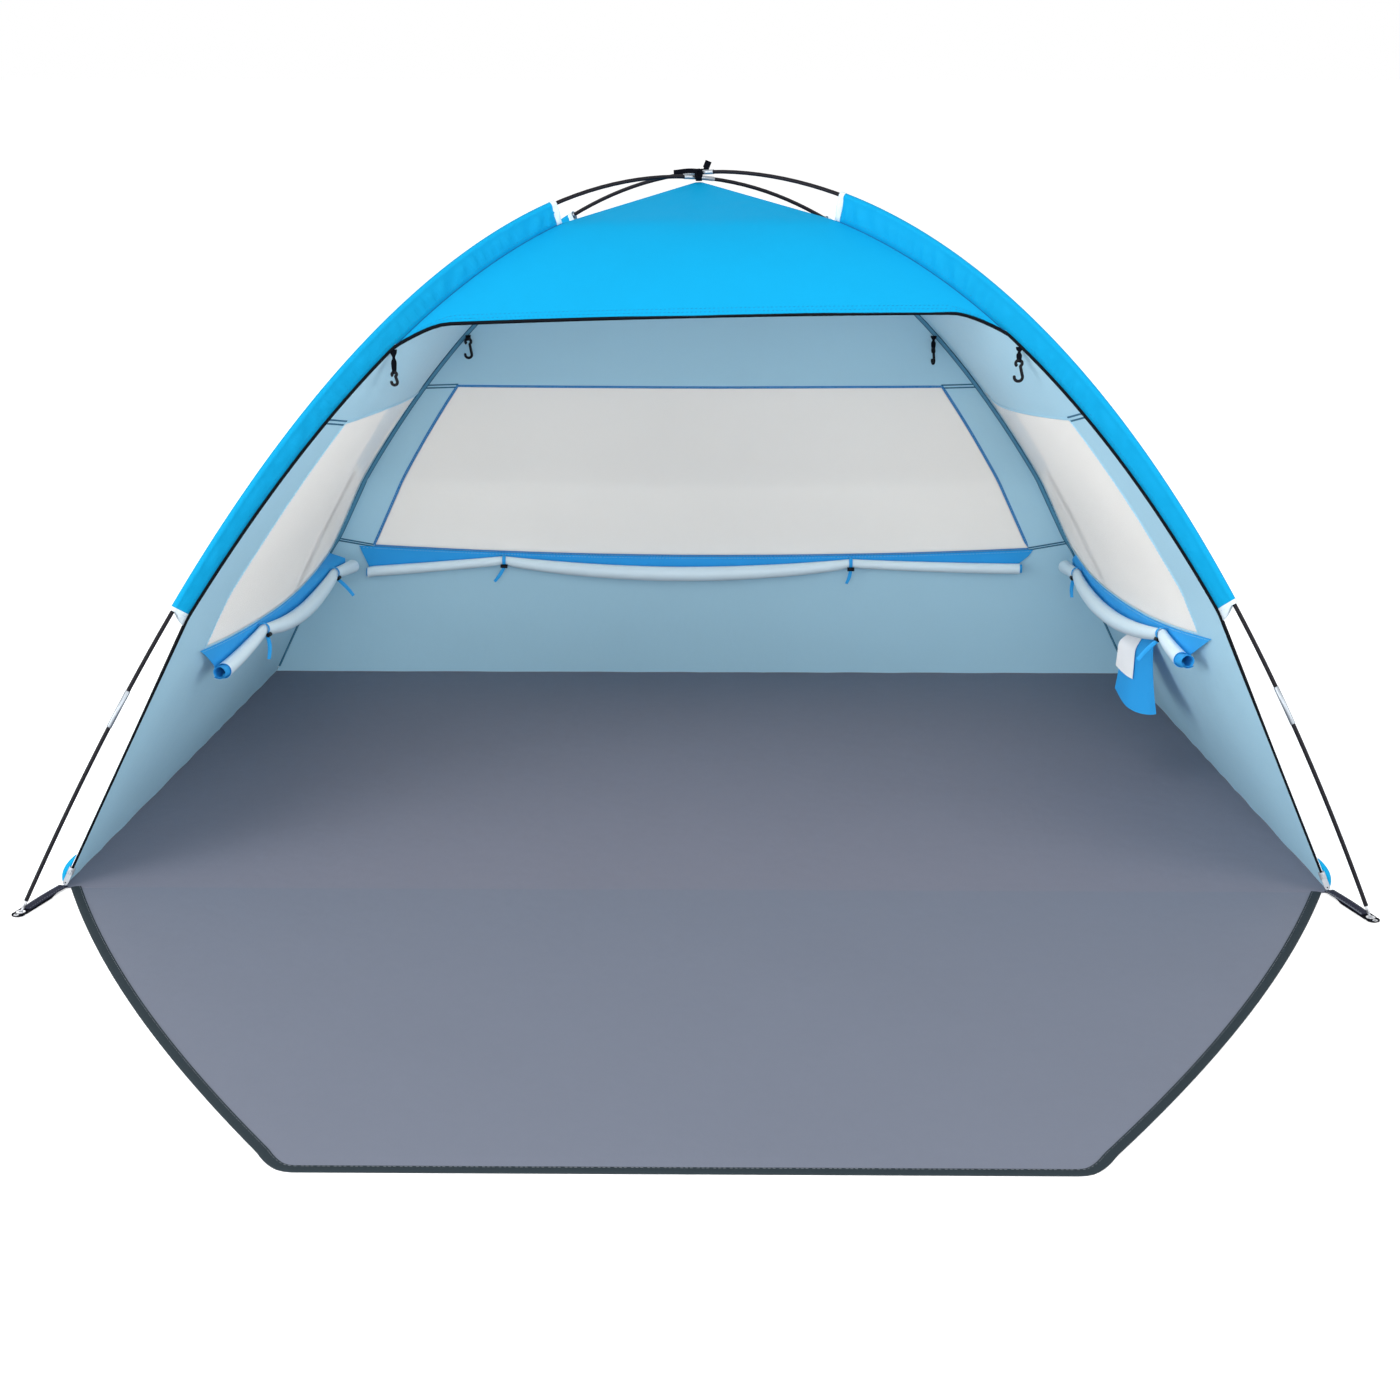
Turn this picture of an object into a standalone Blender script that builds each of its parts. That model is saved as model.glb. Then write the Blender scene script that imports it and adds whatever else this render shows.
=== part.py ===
"""Beach tent on two crossing arch poles, with an open front and a fold-out porch floor.

Metres, +Z up. The origin is on the ground under the pole crossing. The open front faces -Y, and left and
right are as seen from the front, so left is -X.
"""
from math import acos, atan2, cos, hypot, pi, radians, sin

import bmesh
import bpy
from mathutils import Matrix, Vector

# Ground plan: floor corners from the point under the crossing, and the pole feet out from them
FLOOR_FRONT_HALF_WIDTH = 1.195
FLOOR_FRONT_REACH = 0.759
FLOOR_REAR_HALF_WIDTH = 1.050
FLOOR_REAR_REACH = 0.661
FLOOR_HEM = 0.004
FRONT_FOOT_OUT = 0.045
FRONT_FOOT_AHEAD = 0.130
REAR_FOOT_OUT = 0.040
REAR_FOOT_AHEAD = 0.120

# Poles
ARCH_HEIGHT = 1.263
ROD_RADIUS = 0.004
FERRULE_RADIUS = 0.0048
FERRULE_LENGTH = 0.075
FERRULE_CHAMFER = 0.001
TIP_LENGTH = 0.024
TIP_RADIUS = 0.0032
PIN_LENGTH = 0.010
PIN_RADIUS = 0.0021
PIN_GROUND_CLEARANCE = 0.0016
POLE_POINT_SPACING = 0.085
SECTIONS_PER_HALF = 5
ARC_SAMPLES = 400

# Cloth and clearances
CLOTH = 0.0015
MESH_CLOTH = 0.0008
GAP = 0.0003
SEAM_INSET = 0.0012
PANEL_SAG = 0.060
WELD_DISTANCE = 0.00002

# Pole sleeves
SLEEVE_LOW_REACH = 0.336
RIGHT_SLEEVE_LOW_REACH = 0.308
SLEEVE_HIGH_REACH = 1.180
FRONT_SLEEVE_WIDTHS = (0.034, 0.047, 0.046)
REAR_SLEEVE_WIDTHS = (0.028, 0.036, 0.042)
SLEEVE_CLOTH = 0.0010
SLEEVE_CLEARANCE = 0.0008
SLEEVE_SEAM_HALF_WIDTH = 0.0020
SLEEVE_ARC_STEPS = 6
SLEEVE_ARC_HALF_ANGLE = radians(120)
SLEEVE_STATIONS = 16
REAR_SLEEVE_STATIONS = 13

# Zip round the doorway
BEAD_RADIUS = 0.0035
BEAD_GAP = 0.0007

# Heights on a seam are shares of its way up: the sleeve runs between these two
SLEEVE_LOW_SHARE = 0.40
SLEEVE_HIGH_SHARE = 0.90
TOP_SHARE = 0.997
SILL_SEAM_SHARE = 0.30
BROW_SHARE = 0.697
BROW_CORNER_STATION = 8
BROW_CORNER_SHARE = 0.055
BEAD_CLEAR_SHARE = 0.74
BROW_LIFT_SHARE = 0.0055
BROW_CORNER_LIFT_SHARE = 0.6

# Windows: shares across their wall and up its seams
LEFT_WINDOW_FRONT_SHARES = (0.133, 0.110)
RIGHT_WINDOW_FRONT_SHARES = (0.110, 0.095)
SIDE_WINDOW_REAR_SHARES = (0.982, 0.982)
LEFT_WINDOW_SILL_SHARES = (0.336, 0.284, 0.268)
RIGHT_WINDOW_SILL_SHARES = (0.359, 0.294, 0.270)
LEFT_WINDOW_HEAD_SHARES = (0.566, 0.552, 0.518)
RIGHT_WINDOW_HEAD_SHARES = (0.561, 0.534, 0.516)
REAR_WINDOW_LEFT_SHARES = (0.055, 0.061)
REAR_WINDOW_RIGHT_SHARES = (0.942, 0.934)
REAR_WINDOW_SILL_SHARES = (0.270, 0.254, 0.266)
REAR_WINDOW_HEAD_SHARES = (0.519, 0.523, 0.519)
WINDOW_GAP = 0.0005
EDGE_COLUMNS = 1
WINDOW_COLUMNS = 8
FOOT_ROWS = 2
WINDOW_ROWS = 6
HEAD_ROWS = 11

# Rolled window covers, hanging inside below each sill
COVER_CLOTH = 0.0012
COVER_SEAT_GAP = 0.00095
COVER_SEAT_ROW_SHARE = 0.985
COVER_PITCH = 0.0034
COVER_TURNS = 1.4
COVER_STEPS = 14
ROLL_RADIUS_MIDDLE = 0.0145
ROLL_RADIUS_END = 0.0130
ROLL_RADIUS_TIED = 0.0105
VALANCE_MIDDLE = 0.018
VALANCE_END = 0.034
VALANCE_TIED = 0.004
COVER_END_STATIONS = 3
COVER_MIDDLE_STATIONS = 7
LEFT_COVER_END_SHARES = (-0.018, 0.945)
RIGHT_COVER_END_SHARES = (-0.055, 0.935)
REAR_COVER_END_SHARES = (-0.045, 1.012)
LEFT_TIE_SHARES = (0.32, 0.873)
RIGHT_TIE_SHARES = (0.20, 0.880)
REAR_TIE_SHARES = (0.235, 0.730)
COVER_LEAN_START_SHARE = 0.5

# Ties and toggles that hold the rolls
TIE_CLOTH = 0.0010
TIE_GAP = 0.0006
TIE_HALF_WIDTH = 0.004
TIE_BACK_DROP = 0.009
TIE_STEPS = 12
TOGGLE_RADIUS = 0.0045
TOGGLE_LENGTH = 0.016
TOGGLE_SIDES = 10
TOGGLE_TIE_STEP = 5

# Porch flap
FOLD_GAP = 0.0005
FLOOR_CLOTH = 0.002
PORCH_BACK_INSET = 0.015
PORCH_MIDDLE_HALF_WIDTH = 0.943
PORCH_CORNER_HALF_WIDTH = 0.632
PORCH_CORNER_REACH = 1.035
PORCH_FRONT_HALF_WIDTH = 0.575
PORCH_LENGTH = 1.092
PORCH_SIDE_STEPS = 6
PORCH_CORNER_POINTS = 5

# Corner straps and the eyelets that take the pole tips
STRAP_WIDTH = 0.025
STRAP_THICKNESS = 0.0018
STRAP_BEYOND_FOOT = 0.020
STRAP_END_POINTS = 7
EYELET_BORE_RADIUS = 0.0042
EYELET_WALL = 0.0008
EYELET_FLANGE_RADIUS = 0.0085
EYELET_FLANGE = 0.0009
EYELET_STEPS = 20

# Zip sliders and their pulls
SLIDER_LENGTH = 0.014
SLIDER_WALL = 0.0022
SLIDER_CLEARANCE = 0.0005
SLIDER_MOUTH_HALF_ANGLE = radians(42)
SLIDER_ARC_STEPS = 10
SLIDER_START = 0.036
BRIDGE_WIDTH = 0.0030
BRIDGE_THICKNESS = 0.0010
BRIDGE_LENGTH = 0.0076
BRIDGE_CLEAR = 0.0030
PULL_LENGTH = 0.028
PULL_WIDTH = 0.010
PULL_THICKNESS = 0.0014
PULL_EYE_LENGTH = 0.0042
PULL_EYE_WIDTH = 0.0046
PULL_BAR = 0.0014
PULL_HOLE_RADIUS = 0.0015

# Lantern hooks on their webbing
LEFT_HOOK_SHARE = 0.664
RIGHT_HOOK_SHARE = 0.649
REAR_HOOK_SHARE = 0.598
HOOK_STRIP_WIDTH = 0.010
HOOK_STRIP_THICKNESS = 0.0015
HOOK_STRIP_LENGTH = 0.020
HOOK_EYE_RADIUS = 0.0062
HOOK_EYE_HOLE_RADIUS = 0.0030
HOOK_BEND_DROP = 0.026
HOOK_BEND_RADIUS = 0.0075
HOOK_WIRE_HALF_WIDTH = 0.0019
HOOK_THICKNESS = 0.0040
HOOK_EYE_LAP = 0.0020
FRONT_HOOK_DEPTH_SHARE = 0.12
REAR_HOOK_DEPTH_SHARE = 1.04

# Crown tie round both poles
CROWN_TIE_WIDTH = 0.014
CROWN_TIE_CLOTH = 0.0015
CROWN_TIE_CORNER_STEPS = 3
CROWN_TAB_WIDTH = 0.009
CROWN_TAB_HEIGHT = 0.016
CROWN_TAB_LEAN_SHARE = 0.33

# Fabric tab with a blank label, hanging behind the right roll
TAB_COLUMN = 3.9
TAB_ROW_SHARE = 0.73
TAB_TOP_HALF_WIDTH = 0.045
TAB_FOOT_HALF_WIDTH = 0.095
TAB_LENGTH = 0.150
TAB_FOOT_BOW = 0.020
TAB_CLEARANCE = 0.0005
TAB_ROWS = 5
TAB_COLUMNS = 4
LABEL_WIDTH = 0.060
LABEL_LENGTH = 0.095
LABEL_THICKNESS = 0.0005
LABEL_DROP = 0.012

LEFT = -1
RIGHT = 1
UP = Vector((0, 0, 1))
PANELS = {
    "left_wall": ((LEFT, True), (LEFT, False), Vector((LEFT, 0, 0))),
    "right_wall": ((RIGHT, True), (RIGHT, False), Vector((RIGHT, 0, 0))),
    "rear_wall": ((LEFT, False), (RIGHT, False), Vector((0, 1, 0))),
    "brow_panel": ((LEFT, True), (RIGHT, True), Vector((0, -1, 0))),
}
WINDOWS = {
    "left_wall": (LEFT_WINDOW_FRONT_SHARES, SIDE_WINDOW_REAR_SHARES, LEFT_WINDOW_SILL_SHARES,
                  LEFT_WINDOW_HEAD_SHARES),
    "right_wall": (RIGHT_WINDOW_FRONT_SHARES, SIDE_WINDOW_REAR_SHARES, RIGHT_WINDOW_SILL_SHARES,
                   RIGHT_WINDOW_HEAD_SHARES),
    "rear_wall": (REAR_WINDOW_LEFT_SHARES, REAR_WINDOW_RIGHT_SHARES, REAR_WINDOW_SILL_SHARES,
                  REAR_WINDOW_HEAD_SHARES),
}
# How far each leg stands out past an even arch, as a share of the height
LEG_BULGES = {(LEFT, True): 0.004, (RIGHT, True): 0.052, (LEFT, False): 0, (RIGHT, False): 0}
# How far a roll's rear end turns inward
COVER_REAR_LEANS = {"left_wall": 0.036, "right_wall": 0.006, "rear_wall": 0}
# How much later than the valance a roll starts and how much earlier it ends, as shares of the cover
ROLL_END_SHARES = {"left_wall": (0.060, 0), "right_wall": (0.085, 0), "rear_wall": (0.026, 0.026)}
TIE_SHARES = {"left_wall": LEFT_TIE_SHARES, "right_wall": RIGHT_TIE_SHARES, "rear_wall": REAR_TIE_SHARES}
COVER_END_SHARES = {"left_wall": LEFT_COVER_END_SHARES, "right_wall": RIGHT_COVER_END_SHARES,
                    "rear_wall": REAR_COVER_END_SHARES}
SLEEVE_LOW_REACHES = {(LEFT, True): SLEEVE_LOW_REACH, (RIGHT, True): RIGHT_SLEEVE_LOW_REACH,
                      (LEFT, False): SLEEVE_LOW_REACH, (RIGHT, False): SLEEVE_LOW_REACH}
FRONT_HOOK_SHARES = {LEFT: LEFT_HOOK_SHARE, RIGHT: RIGHT_HOOK_SHARE}
BROW_COLUMN_SHARES = (0, 0.018, 0.036, 0.055, 0.11, 0.2, 0.3, 0.4, 0.5)


# Scene, materials and mesh helpers

def clear_scene():
    for thing in list(bpy.data.objects):
        bpy.data.objects.remove(thing, do_unlink=True)


def new_collection(name):
    made = bpy.data.collections.new(name)
    bpy.context.scene.collection.children.link(made)
    return made


def make_material(name, colour, roughness, metallic=0.0):
    made = bpy.data.materials.new(name)
    made.use_nodes = True
    shader = made.node_tree.nodes["Principled BSDF"]
    shader.inputs["Base Color"].default_value = (*colour, 1)
    shader.inputs["Roughness"].default_value = roughness
    shader.inputs["Metallic"].default_value = metallic
    return made


def add_object(name, data, material, collection):
    thing = bpy.data.objects.new(name, data)
    thing.data.materials.append(material)
    collection.objects.link(thing)
    return thing


def mesh_object(name, points, faces, material, collection):
    mesh = bpy.data.meshes.new(name)
    mesh.from_pydata([tuple(point) for point in points], [], faces)
    mesh.update()
    return add_object(name, mesh, material, collection)


def grid_faces(rows, columns, skip=lambda row, column: False, wrap=False):
    """Quads of a grid of points stored row by row; wrap joins each row's last point to its first."""
    faces = []
    for row in range(rows - 1):
        for column in range(columns if wrap else columns - 1):
            if skip(row, column):
                continue
            after = (column + 1) % columns
            low = row * columns
            high = low + columns
            faces.append((low + column, low + after, high + after, high + column))
    return faces


def thicken(thing, thickness):
    """Turn an open surface into a closed sheet, half its thickness to each side."""
    solid = thing.modifiers.new("thickness", "SOLIDIFY")
    solid.thickness = thickness
    solid.offset = 0
    solid.use_even_offset = True
    return thing


def sheet(name, rows, thickness, material, collection, skip=lambda row, column: False, wrap=False):
    points = [point for row in rows for point in row]
    faces = grid_faces(len(rows), len(rows[0]), skip, wrap)
    thing = mesh_object(name, points, faces, material, collection)
    drop_loose_points(thing)
    return thicken(thing, thickness)


def drop_loose_points(thing):
    work = bmesh.new()
    work.from_mesh(thing.data)
    bmesh.ops.delete(work, geom=[v for v in work.verts if not v.link_faces], context="VERTS")
    work.to_mesh(thing.data)
    work.free()


def tube(name, points, radii, material, collection, resolution=2):
    """Curve along the points with its own radius at each of them."""
    curve = bpy.data.curves.new(name, "CURVE")
    curve.dimensions = "3D"
    curve.bevel_depth = 1
    curve.bevel_resolution = resolution
    curve.use_fill_caps = True
    spline = curve.splines.new("POLY")
    spline.points.add(len(points) - 1)
    for place, point, radius in zip(spline.points, points, radii):
        place.co = (*point, 1)
        place.radius = radius
    return add_object(name, curve, material, collection)


def plate(name, outlines, thickness, material, collection):
    """Flat plate from closed outlines in its own XY plane; the inner ones are holes."""
    curve = bpy.data.curves.new(name, "CURVE")
    curve.dimensions = "2D"
    curve.fill_mode = "BOTH"
    curve.extrude = thickness / 2
    for outline in outlines:
        spline = curve.splines.new("POLY")
        spline.use_cyclic_u = True
        spline.points.add(len(outline) - 1)
        for place, (x, y) in zip(spline.points, outline):
            place.co = (x, y, 0, 1)
    return add_object(name, curve, material, collection)


def to_mesh(thing, collection):
    """Replace a curve or modified object by its own finished mesh, welded."""
    bpy.context.view_layer.update()
    seen = thing.evaluated_get(bpy.context.evaluated_depsgraph_get())
    mesh = bpy.data.meshes.new_from_object(seen)
    work = bmesh.new()
    work.from_mesh(mesh)
    bmesh.ops.remove_doubles(work, verts=work.verts, dist=WELD_DISTANCE)
    work.to_mesh(mesh)
    work.free()
    name = thing.name
    place = thing.matrix_world.copy()
    material = thing.data.materials[0]
    bpy.data.objects.remove(thing, do_unlink=True)
    made = bpy.data.objects.new(name, mesh)
    made.matrix_world = place
    if not mesh.materials:
        mesh.materials.append(material)
    collection.objects.link(made)
    return made


def join_solids(name, first, second, collection):
    """Boolean union of two closed solids, kept under one name."""
    union = first.modifiers.new("union", "BOOLEAN")
    union.operation = "UNION"
    union.solver = "EXACT"
    union.object = second
    made = to_mesh(first, collection)
    bpy.data.objects.remove(second, do_unlink=True)
    made.name = name
    return made


def circle(radius, steps, centre=(0, 0)):
    turns = [2 * pi * step / steps for step in range(steps)]
    return [(centre[0] + radius * cos(turn), centre[1] + radius * sin(turn)) for turn in turns]


def arc(radius, start, end, steps, centre=(0, 0)):
    turns = [start + (end - start) * step / steps for step in range(steps + 1)]
    return [(centre[0] + radius * cos(turn), centre[1] + radius * sin(turn)) for turn in turns]


def frame_at(origin, x_axis, y_axis, z_axis):
    turned = Matrix((x_axis, y_axis, z_axis)).transposed().to_4x4()
    turned.translation = origin
    return turned


def mix(first, second, share):
    return first + (second - first) * share


def bend(shares, share):
    """Parabola through three values at the start, the middle and the end."""
    start, middle, end = shares
    rising = start * (1 - share) * (1 - 2 * share)
    return rising + middle * 4 * share * (1 - share) + end * share * (2 * share - 1)


# Pole arches, seams and wall surfaces

def feet_line(side, front):
    """Near foot, unit direction and length of the pole that stands at this side and end."""
    front_foot = (FLOOR_FRONT_HALF_WIDTH + FRONT_FOOT_OUT, -FLOOR_FRONT_REACH - FRONT_FOOT_AHEAD)
    rear_foot = (FLOOR_REAR_HALF_WIDTH + REAR_FOOT_OUT, FLOOR_REAR_REACH + REAR_FOOT_AHEAD)
    near_span, near_y = front_foot if front else rear_foot
    far_span, far_y = rear_foot if front else front_foot
    foot = Vector((side * near_span, near_y, 0))
    run = Vector((-side * far_span, far_y, 0)) - foot
    return foot, run.normalized(), run.length


def leg_bulge(side, front, off_middle):
    return LEG_BULGES[side, front] if off_middle < 0 else LEG_BULGES[-side, not front]


def arch_point(side, front, reach, height=ARCH_HEIGHT):
    foot, along, chord = feet_line(side, front)
    off_middle = 2 * reach / chord - 1
    bulge = 4 * leg_bulge(side, front, off_middle) * (off_middle ** 2 - off_middle ** 4)
    return foot + along * reach + UP * height * (1 - off_middle ** 2 + bulge)


def arch_slope(side, front, reach):
    chord = feet_line(side, front)[2]
    off_middle = 2 * reach / chord - 1
    bulge = 4 * leg_bulge(side, front, off_middle) * (2 * off_middle - 4 * off_middle ** 3)
    return 2 * ARCH_HEIGHT / chord * (bulge - 2 * off_middle)


def inward_normal(side, front, reach):
    along = feet_line(side, front)[1]
    return (along * arch_slope(side, front, reach) - UP).normalized()


def crossing_reach():
    """How far along a pole's line from its front foot the two poles cross."""
    foot, along, chord = feet_line(LEFT, True)
    return -foot.x / along.x


def crossing_lean():
    """Angle at which both poles run down to the rear where they cross."""
    slope = arch_slope(LEFT, True, crossing_reach())
    return atan2(slope, feet_line(LEFT, True)[1].y)


CROSSING = arch_point(LEFT, True, crossing_reach())
CROSSING_LEAN = crossing_lean()
CROSSING_RISE = (FERRULE_RADIUS + GAP / 2) / cos(CROSSING_LEAN)
CROWN_TIE_HALF_HEIGHT = 2 * FERRULE_RADIUS + GAP / 2 + GAP + CROWN_TIE_CLOTH / 2
CROWN_TIE_DROP = (CROWN_TIE_HALF_HEIGHT + CROWN_TIE_CLOTH / 2) / cos(CROSSING_LEAN)
APEX = CROSSING - UP * (CROWN_TIE_DROP + GAP + CLOTH / 2)


def seam_point(side, front, share):
    """Point on the seam under a pole, from the floor corner at 0 to the crown at 1."""
    widths = FRONT_SLEEVE_WIDTHS if front else REAR_SLEEVE_WIDTHS
    half_width = FLOOR_FRONT_HALF_WIDTH if front else FLOOR_REAR_HALF_WIDTH
    corner_y = -FLOOR_FRONT_REACH if front else FLOOR_REAR_REACH
    along_sleeve = (share - SLEEVE_LOW_SHARE) / (SLEEVE_HIGH_SHARE - SLEEVE_LOW_SHARE)
    along_sleeve = min(1, max(0, along_sleeve))
    reach = mix(SLEEVE_LOW_REACHES[side, front], SLEEVE_HIGH_REACH, along_sleeve)
    inward = inward_normal(side, front, reach)
    point = arch_point(side, front, reach) + inward * bend(widths, along_sleeve)
    if share < SLEEVE_LOW_SHARE:
        corner = Vector((side * half_width, corner_y, 0))
        return corner.lerp(point, share / SLEEVE_LOW_SHARE)
    if share > SLEEVE_HIGH_SHARE:
        return point.lerp(APEX, (share - SLEEVE_HIGH_SHARE) / (1 - SLEEVE_HIGH_SHARE))
    return point


def start_share():
    """Share at which a wall stands just clear of the floor sheet."""
    clear = FLOOR_CLOTH + CLOTH / 2 + GAP
    return SLEEVE_LOW_SHARE * clear / seam_point(LEFT, True, SLEEVE_LOW_SHARE).z


def station_share(station):
    """Share on a seam of one of the places along its sleeve."""
    return mix(SLEEVE_LOW_SHARE, SLEEVE_HIGH_SHARE, station / (SLEEVE_STATIONS - 1))


def seam_rows():
    """Shares at which the rows of a wall meet its seams, the same places as on the sleeves."""
    foot = [mix(start_share(), SILL_SEAM_SHARE, row / FOOT_ROWS) for row in range(FOOT_ROWS + 1)]
    return foot + [station_share(station) for station in range(SLEEVE_STATIONS)] + [TOP_SHARE]


def row_share(row):
    """Share of a row on the seams, also between two whole rows."""
    rows = seam_rows()
    low = min(int(row), len(rows) - 2)
    return mix(rows[low], rows[low + 1], row - low)


def panel_point(panel, across, up, insets=(SEAM_INSET, SEAM_INSET)):
    first, second, outward = PANELS[panel]
    start = seam_point(*first, up)
    run = seam_point(*second, up) - start
    clear = run.length - insets[0] - insets[1]
    point = start + run.normalized() * (insets[0] + clear * across)
    depth = PANEL_SAG * 4 * across * (1 - across) * sin(pi * min(1, point.z / ARCH_HEIGHT))
    return point - outward * depth


def window_shares(panel, column, row):
    """Shares across and up a wall for a step of its grid, whose middle block is the window."""
    first_edge, second_edge, sill, head = WINDOWS[panel]
    up_window = min(1, max(0, (row - FOOT_ROWS) / WINDOW_ROWS))
    near = mix(*first_edge, up_window)
    far = mix(*second_edge, up_window)
    past_window = EDGE_COLUMNS + WINDOW_COLUMNS
    if column <= EDGE_COLUMNS:
        across = near * column / EDGE_COLUMNS
    elif column <= past_window:
        across = mix(near, far, (column - EDGE_COLUMNS) / WINDOW_COLUMNS)
    else:
        across = mix(far, 1, (column - past_window) / EDGE_COLUMNS)
    level = row_share(row)
    if column in (0, past_window + EDGE_COLUMNS):
        return across, level
    marks = [(row_share(0), row_share(0)), (row_share(FOOT_ROWS), bend(sill, across)),
             (row_share(FOOT_ROWS + WINDOW_ROWS), bend(head, across)), (TOP_SHARE, TOP_SHARE)]
    block = 0 if row <= FOOT_ROWS else 1 if row <= FOOT_ROWS + WINDOW_ROWS else 2
    (low, low_share), (high, high_share) = marks[block:block + 2]
    return across, mix(low_share, high_share, (level - low) / (high - low))


def wall_insets(panel, up):
    beside_zip = panel != "rear_wall" and up < BEAD_CLEAR_SHARE
    first = BEAD_RADIUS + BEAD_GAP if beside_zip else SEAM_INSET
    return first, SEAM_INSET


def wall_point(panel, column, row):
    across, up = window_shares(panel, column, row)
    return panel_point(panel, across, up, wall_insets(panel, up))


def on_wall(panel, column, row):
    """Point on a wall's flat facets between four points of its grid."""
    left, low = int(column), int(row)
    foot = mix(wall_point(panel, left, low), wall_point(panel, left + 1, low), column - left)
    head = mix(wall_point(panel, left, low + 1), wall_point(panel, left + 1, low + 1), column - left)
    return mix(foot, head, row - low)


def brow_edge_share(across):
    """How far up the seams the doorway's upper edge is, rounded down into both seams."""
    near_seam = min(across, 1 - across) / BROW_CORNER_SHARE
    drop = BROW_SHARE - station_share(BROW_CORNER_STATION)
    return BROW_SHARE - drop * max(0, 1 - near_seam) ** 2


def brow_lift_share(across):
    """Room above the zip's bead, with more of it where the edge is steep."""
    near_seam = min(across, 1 - across) / BROW_CORNER_SHARE
    return BROW_LIFT_SHARE * (1 + BROW_CORNER_LIFT_SHARE * max(0, 1 - near_seam))


# Poles

class Arc:
    """One pole's arch, measured by the length along it from its front foot."""

    def __init__(self, side, height):
        self.side = side
        self.height = height
        self.chord = feet_line(side, True)[2]
        self.reaches = [self.chord * step / ARC_SAMPLES for step in range(ARC_SAMPLES + 1)]
        points = [arch_point(side, True, reach, height) for reach in self.reaches]
        self.lengths = [0]
        for before, after in zip(points, points[1:]):
            self.lengths.append(self.lengths[-1] + (after - before).length)
        self.total = self.lengths[-1]

    def read(self, known, wanted, value):
        step = 0
        while step < ARC_SAMPLES - 1 and known[step + 1] < value:
            step += 1
        share = (value - known[step]) / (known[step + 1] - known[step])
        return mix(wanted[step], wanted[step + 1], share)

    def point(self, length):
        reach = self.read(self.lengths, self.reaches, length)
        return arch_point(self.side, True, reach, self.height)

    def length_at(self, reach):
        return self.read(self.reaches, self.lengths, reach)


def pole_profile(start, end, ferrules):
    """Lengths and radii along one stretch of pole with glued ferrules."""
    half = FERRULE_LENGTH / 2
    steps = max(2, round((end - start) / POLE_POINT_SPACING))
    places = [(start + (end - start) * step / steps, ROD_RADIUS) for step in range(steps + 1)]
    for centre in ferrules:
        places = [place for place in places if abs(place[0] - centre) > half + FERRULE_CHAMFER]
        places.append((centre - half, ROD_RADIUS))
        places.append((centre - half + FERRULE_CHAMFER, FERRULE_RADIUS))
        places.append((centre, FERRULE_RADIUS))
        places.append((centre + half - FERRULE_CHAMFER, FERRULE_RADIUS))
        places.append((centre + half, ROD_RADIUS))
    return sorted(places)


def tip_profile(foot_length, towards):
    """Metal tip and pin at a pole's foot; towards is 1 at the front foot and -1 at the rear."""
    return [(foot_length, PIN_RADIUS),
            (foot_length + towards * PIN_LENGTH, PIN_RADIUS),
            (foot_length + towards * (PIN_LENGTH + FERRULE_CHAMFER), TIP_RADIUS),
            (foot_length + towards * TIP_LENGTH, TIP_RADIUS)]


def build_pole(name, side, height, material, collection):
    arc_line = Arc(side, height)
    middle = arc_line.length_at(crossing_reach())
    front_step = middle / SECTIONS_PER_HALF
    rear_step = (arc_line.total - middle) / SECTIONS_PER_HALF
    joints = [front_step * step for step in range(1, SECTIONS_PER_HALF + 1)]
    joints += [middle + rear_step * step for step in range(1, SECTIONS_PER_HALF)]
    half = FERRULE_LENGTH / 2
    pin_end = PIN_GROUND_CLEARANCE / sin_of_foot(side, True)
    rear_pin_end = arc_line.total - PIN_GROUND_CLEARANCE / sin_of_foot(-side, False)
    first, second, third, fourth, crown, fifth, sixth, seventh, eighth = joints
    stretches = {
        "front_leg": (pin_end + TIP_LENGTH, first + half, [first]),
        "front_run": (first + half + GAP, fourth + half, [second, third, fourth]),
        "front_crown": (fourth + half + GAP, crown + half, [crown]),
        "rear_crown": (crown + half + GAP, fifth - half - GAP, []),
        "rear_run": (fifth - half, eighth - half - GAP, [fifth, sixth, seventh]),
        "rear_leg": (eighth - half, rear_pin_end - TIP_LENGTH, [eighth]),
    }
    for part, (start, end, ferrules) in stretches.items():
        places = pole_profile(start, end, ferrules)
        if part == "front_leg":
            places = tip_profile(pin_end, 1) + places
        if part == "rear_leg":
            places = places + tip_profile(rear_pin_end, -1)[::-1]
        points = [arc_line.point(length) for length, radius in places]
        radii = [radius for length, radius in places]
        tube(f"{name}_{part}", points, radii, material, collection)


def sin_of_foot(side, front):
    slope = arch_slope(side, front, 0)
    return slope / hypot(1, slope)


# Sleeves, walls, windows and doorway zip

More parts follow.
